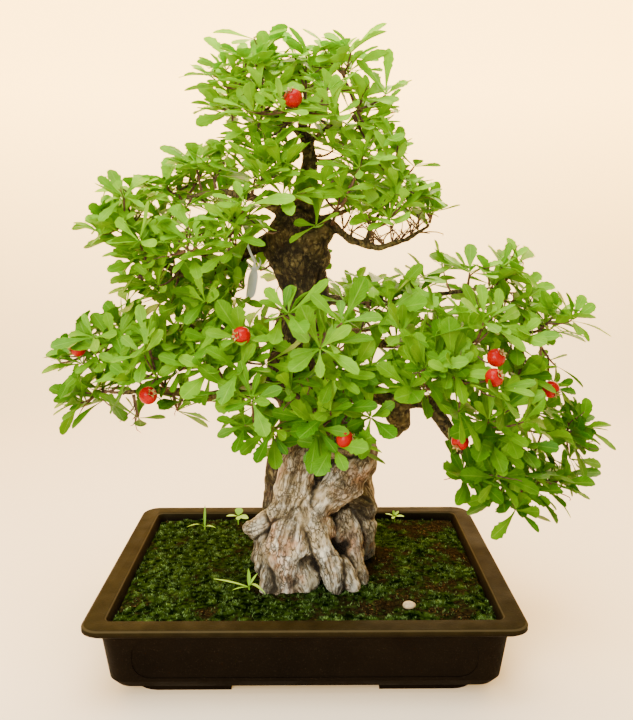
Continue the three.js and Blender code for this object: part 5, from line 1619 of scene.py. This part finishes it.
# Each weed: node, place on the soil, height of its stem, kind of leaf, tone, and its leaves. Each leaf:
# direction and rise in degrees, length, width and arch.
weeds = [
    ("grass_front", (-64, -69), 3, grass_blade, 0.8,
     [(176, 16, 40, 5, -0.06), (100, 80, 20, 4, 0.0), (-66, 50, 34, 4, -0.75), (196, 8, 18, 3.4, -0.2),
      (40, 60, 16, 3, -0.3)]),
    ("grass_back", (-137, 105), 3, grass_blade, 0.6,
     [(80, 84, 30, 3.4, -0.05), (222, 56, 24, 3.4, -0.8), (-40, 46, 16, 3, -0.7)]),
    ("seedling_left", (-94, 126), 12, round_leaf, 0.62,
     [(185, 14, 14, 12, -0.2), (80, 42, 13, 11, -0.2), (-15, 8, 13, 11, -0.3), (-80, 4, 8, 7, -0.3)]),
    ("seedling_right", (122, 134), 7, round_leaf, 0.8,
     [(170, 30, 11, 5, -0.3), (40, 42, 9, 4, -0.2), (-20, 22, 12, 5, -0.3), (100, 60, 7, 4, -0.1),
      (-110, 16, 8, 5, -0.3)]),
]
weed_green, tree, shader = new_material("young weed", Roughness=0.5, Specular_IOR_Level=0.25)
paint(tree, shader, blend(tree, stored(tree, "tone"), (0.05, 0.20, 0.004), (0.34, 0.62, 0.03)))
bumped(tree, shader, add_grain(tree, 700, 0.3, 0.7, 4.0, 0.2), 0.0002, 0.4)
for node, place, stem, kind, tone, rows in weeds:
    bundle = Bundle()
    ground, _, _, _ = soil_surface.ray_cast(spot(*place, above_soil), Vector((0, 0, -1)))
    top = ground + Vector((0, 0, stem * MM))
    foot = ground - Vector((-1 * MM, 1 * MM, 6 * MM))
    bundle.add_twig(foot, foot.lerp(top, 0.5), top, 0.9, 0.8)
    hub = hub_frame(top, Vector((0, 0, 1)))
    for direction, rise, length, width, arch in rows:
        bundle.add_leaf(hub, {
            "angle": math.radians(direction),
            "rise": math.radians(rise),
            "roll": 0.15,
            "arch": arch,
            "fold": kind["fold"],
            "length": length,
            "width": width * leaf_width_share / kind["widest"],
            "shape": kind["shape"],
        }, tone + random.uniform(-0.15, 0.15))
    weed = bundle.make(node + "_plant", [weed_green, weed_green])
    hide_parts(node)
    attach(weed, "root")

pebble_low, pebble_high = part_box("pebble")
bpy.ops.object.select_all(action="DESELECT")
bpy.ops.mesh.primitive_ico_sphere_add(subdivisions=4, radius=1, location=(0, 0, 0))
pebble = begin("beige_pebble")
bpy.ops.mesh.select_all(action="SELECT")
bpy.ops.transform.resize(value=[size * 0.5 for size in pebble_high - pebble_low], center_override=(0, 0, 0))
bpy.ops.transform.translate(value=(pebble_low + pebble_high) / 2)
# Its right front corner is worn round.
worn_x, worn_y = pebble_high.x - 3 * MM, pebble_low.y + 5 * MM
pick(pebble, lambda corner: corner.co.x > worn_x and corner.co.y < worn_y, "VERT")
bpy.ops.mesh.vertices_smooth(factor=0.5, repeat=10)
bpy.ops.object.mode_set(mode="OBJECT")
points, normals = corners_of(pebble)
points += normals * np.array([0.45 * rough_at(point, 5, 31) for point in points])[:, None] * MM
set_corners(pebble, points)
bpy.ops.object.shade_smooth()
stone, tree, shader = new_material("beige stone", Roughness=0.8, Specular_IOR_Level=0.3)
paint(tree, shader, blend(tree, add_grain(tree, 300), (0.42, 0.30, 0.15), (0.62, 0.47, 0.26)))
bumped(tree, shader, add_grain(tree, 900), 0.0003, 0.5)
pebble.data.materials.append(stone)
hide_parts("pebble")
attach(pebble, "root")

# ---------------------------------------------------------------- the finished model
bpy.context.view_layer.update()
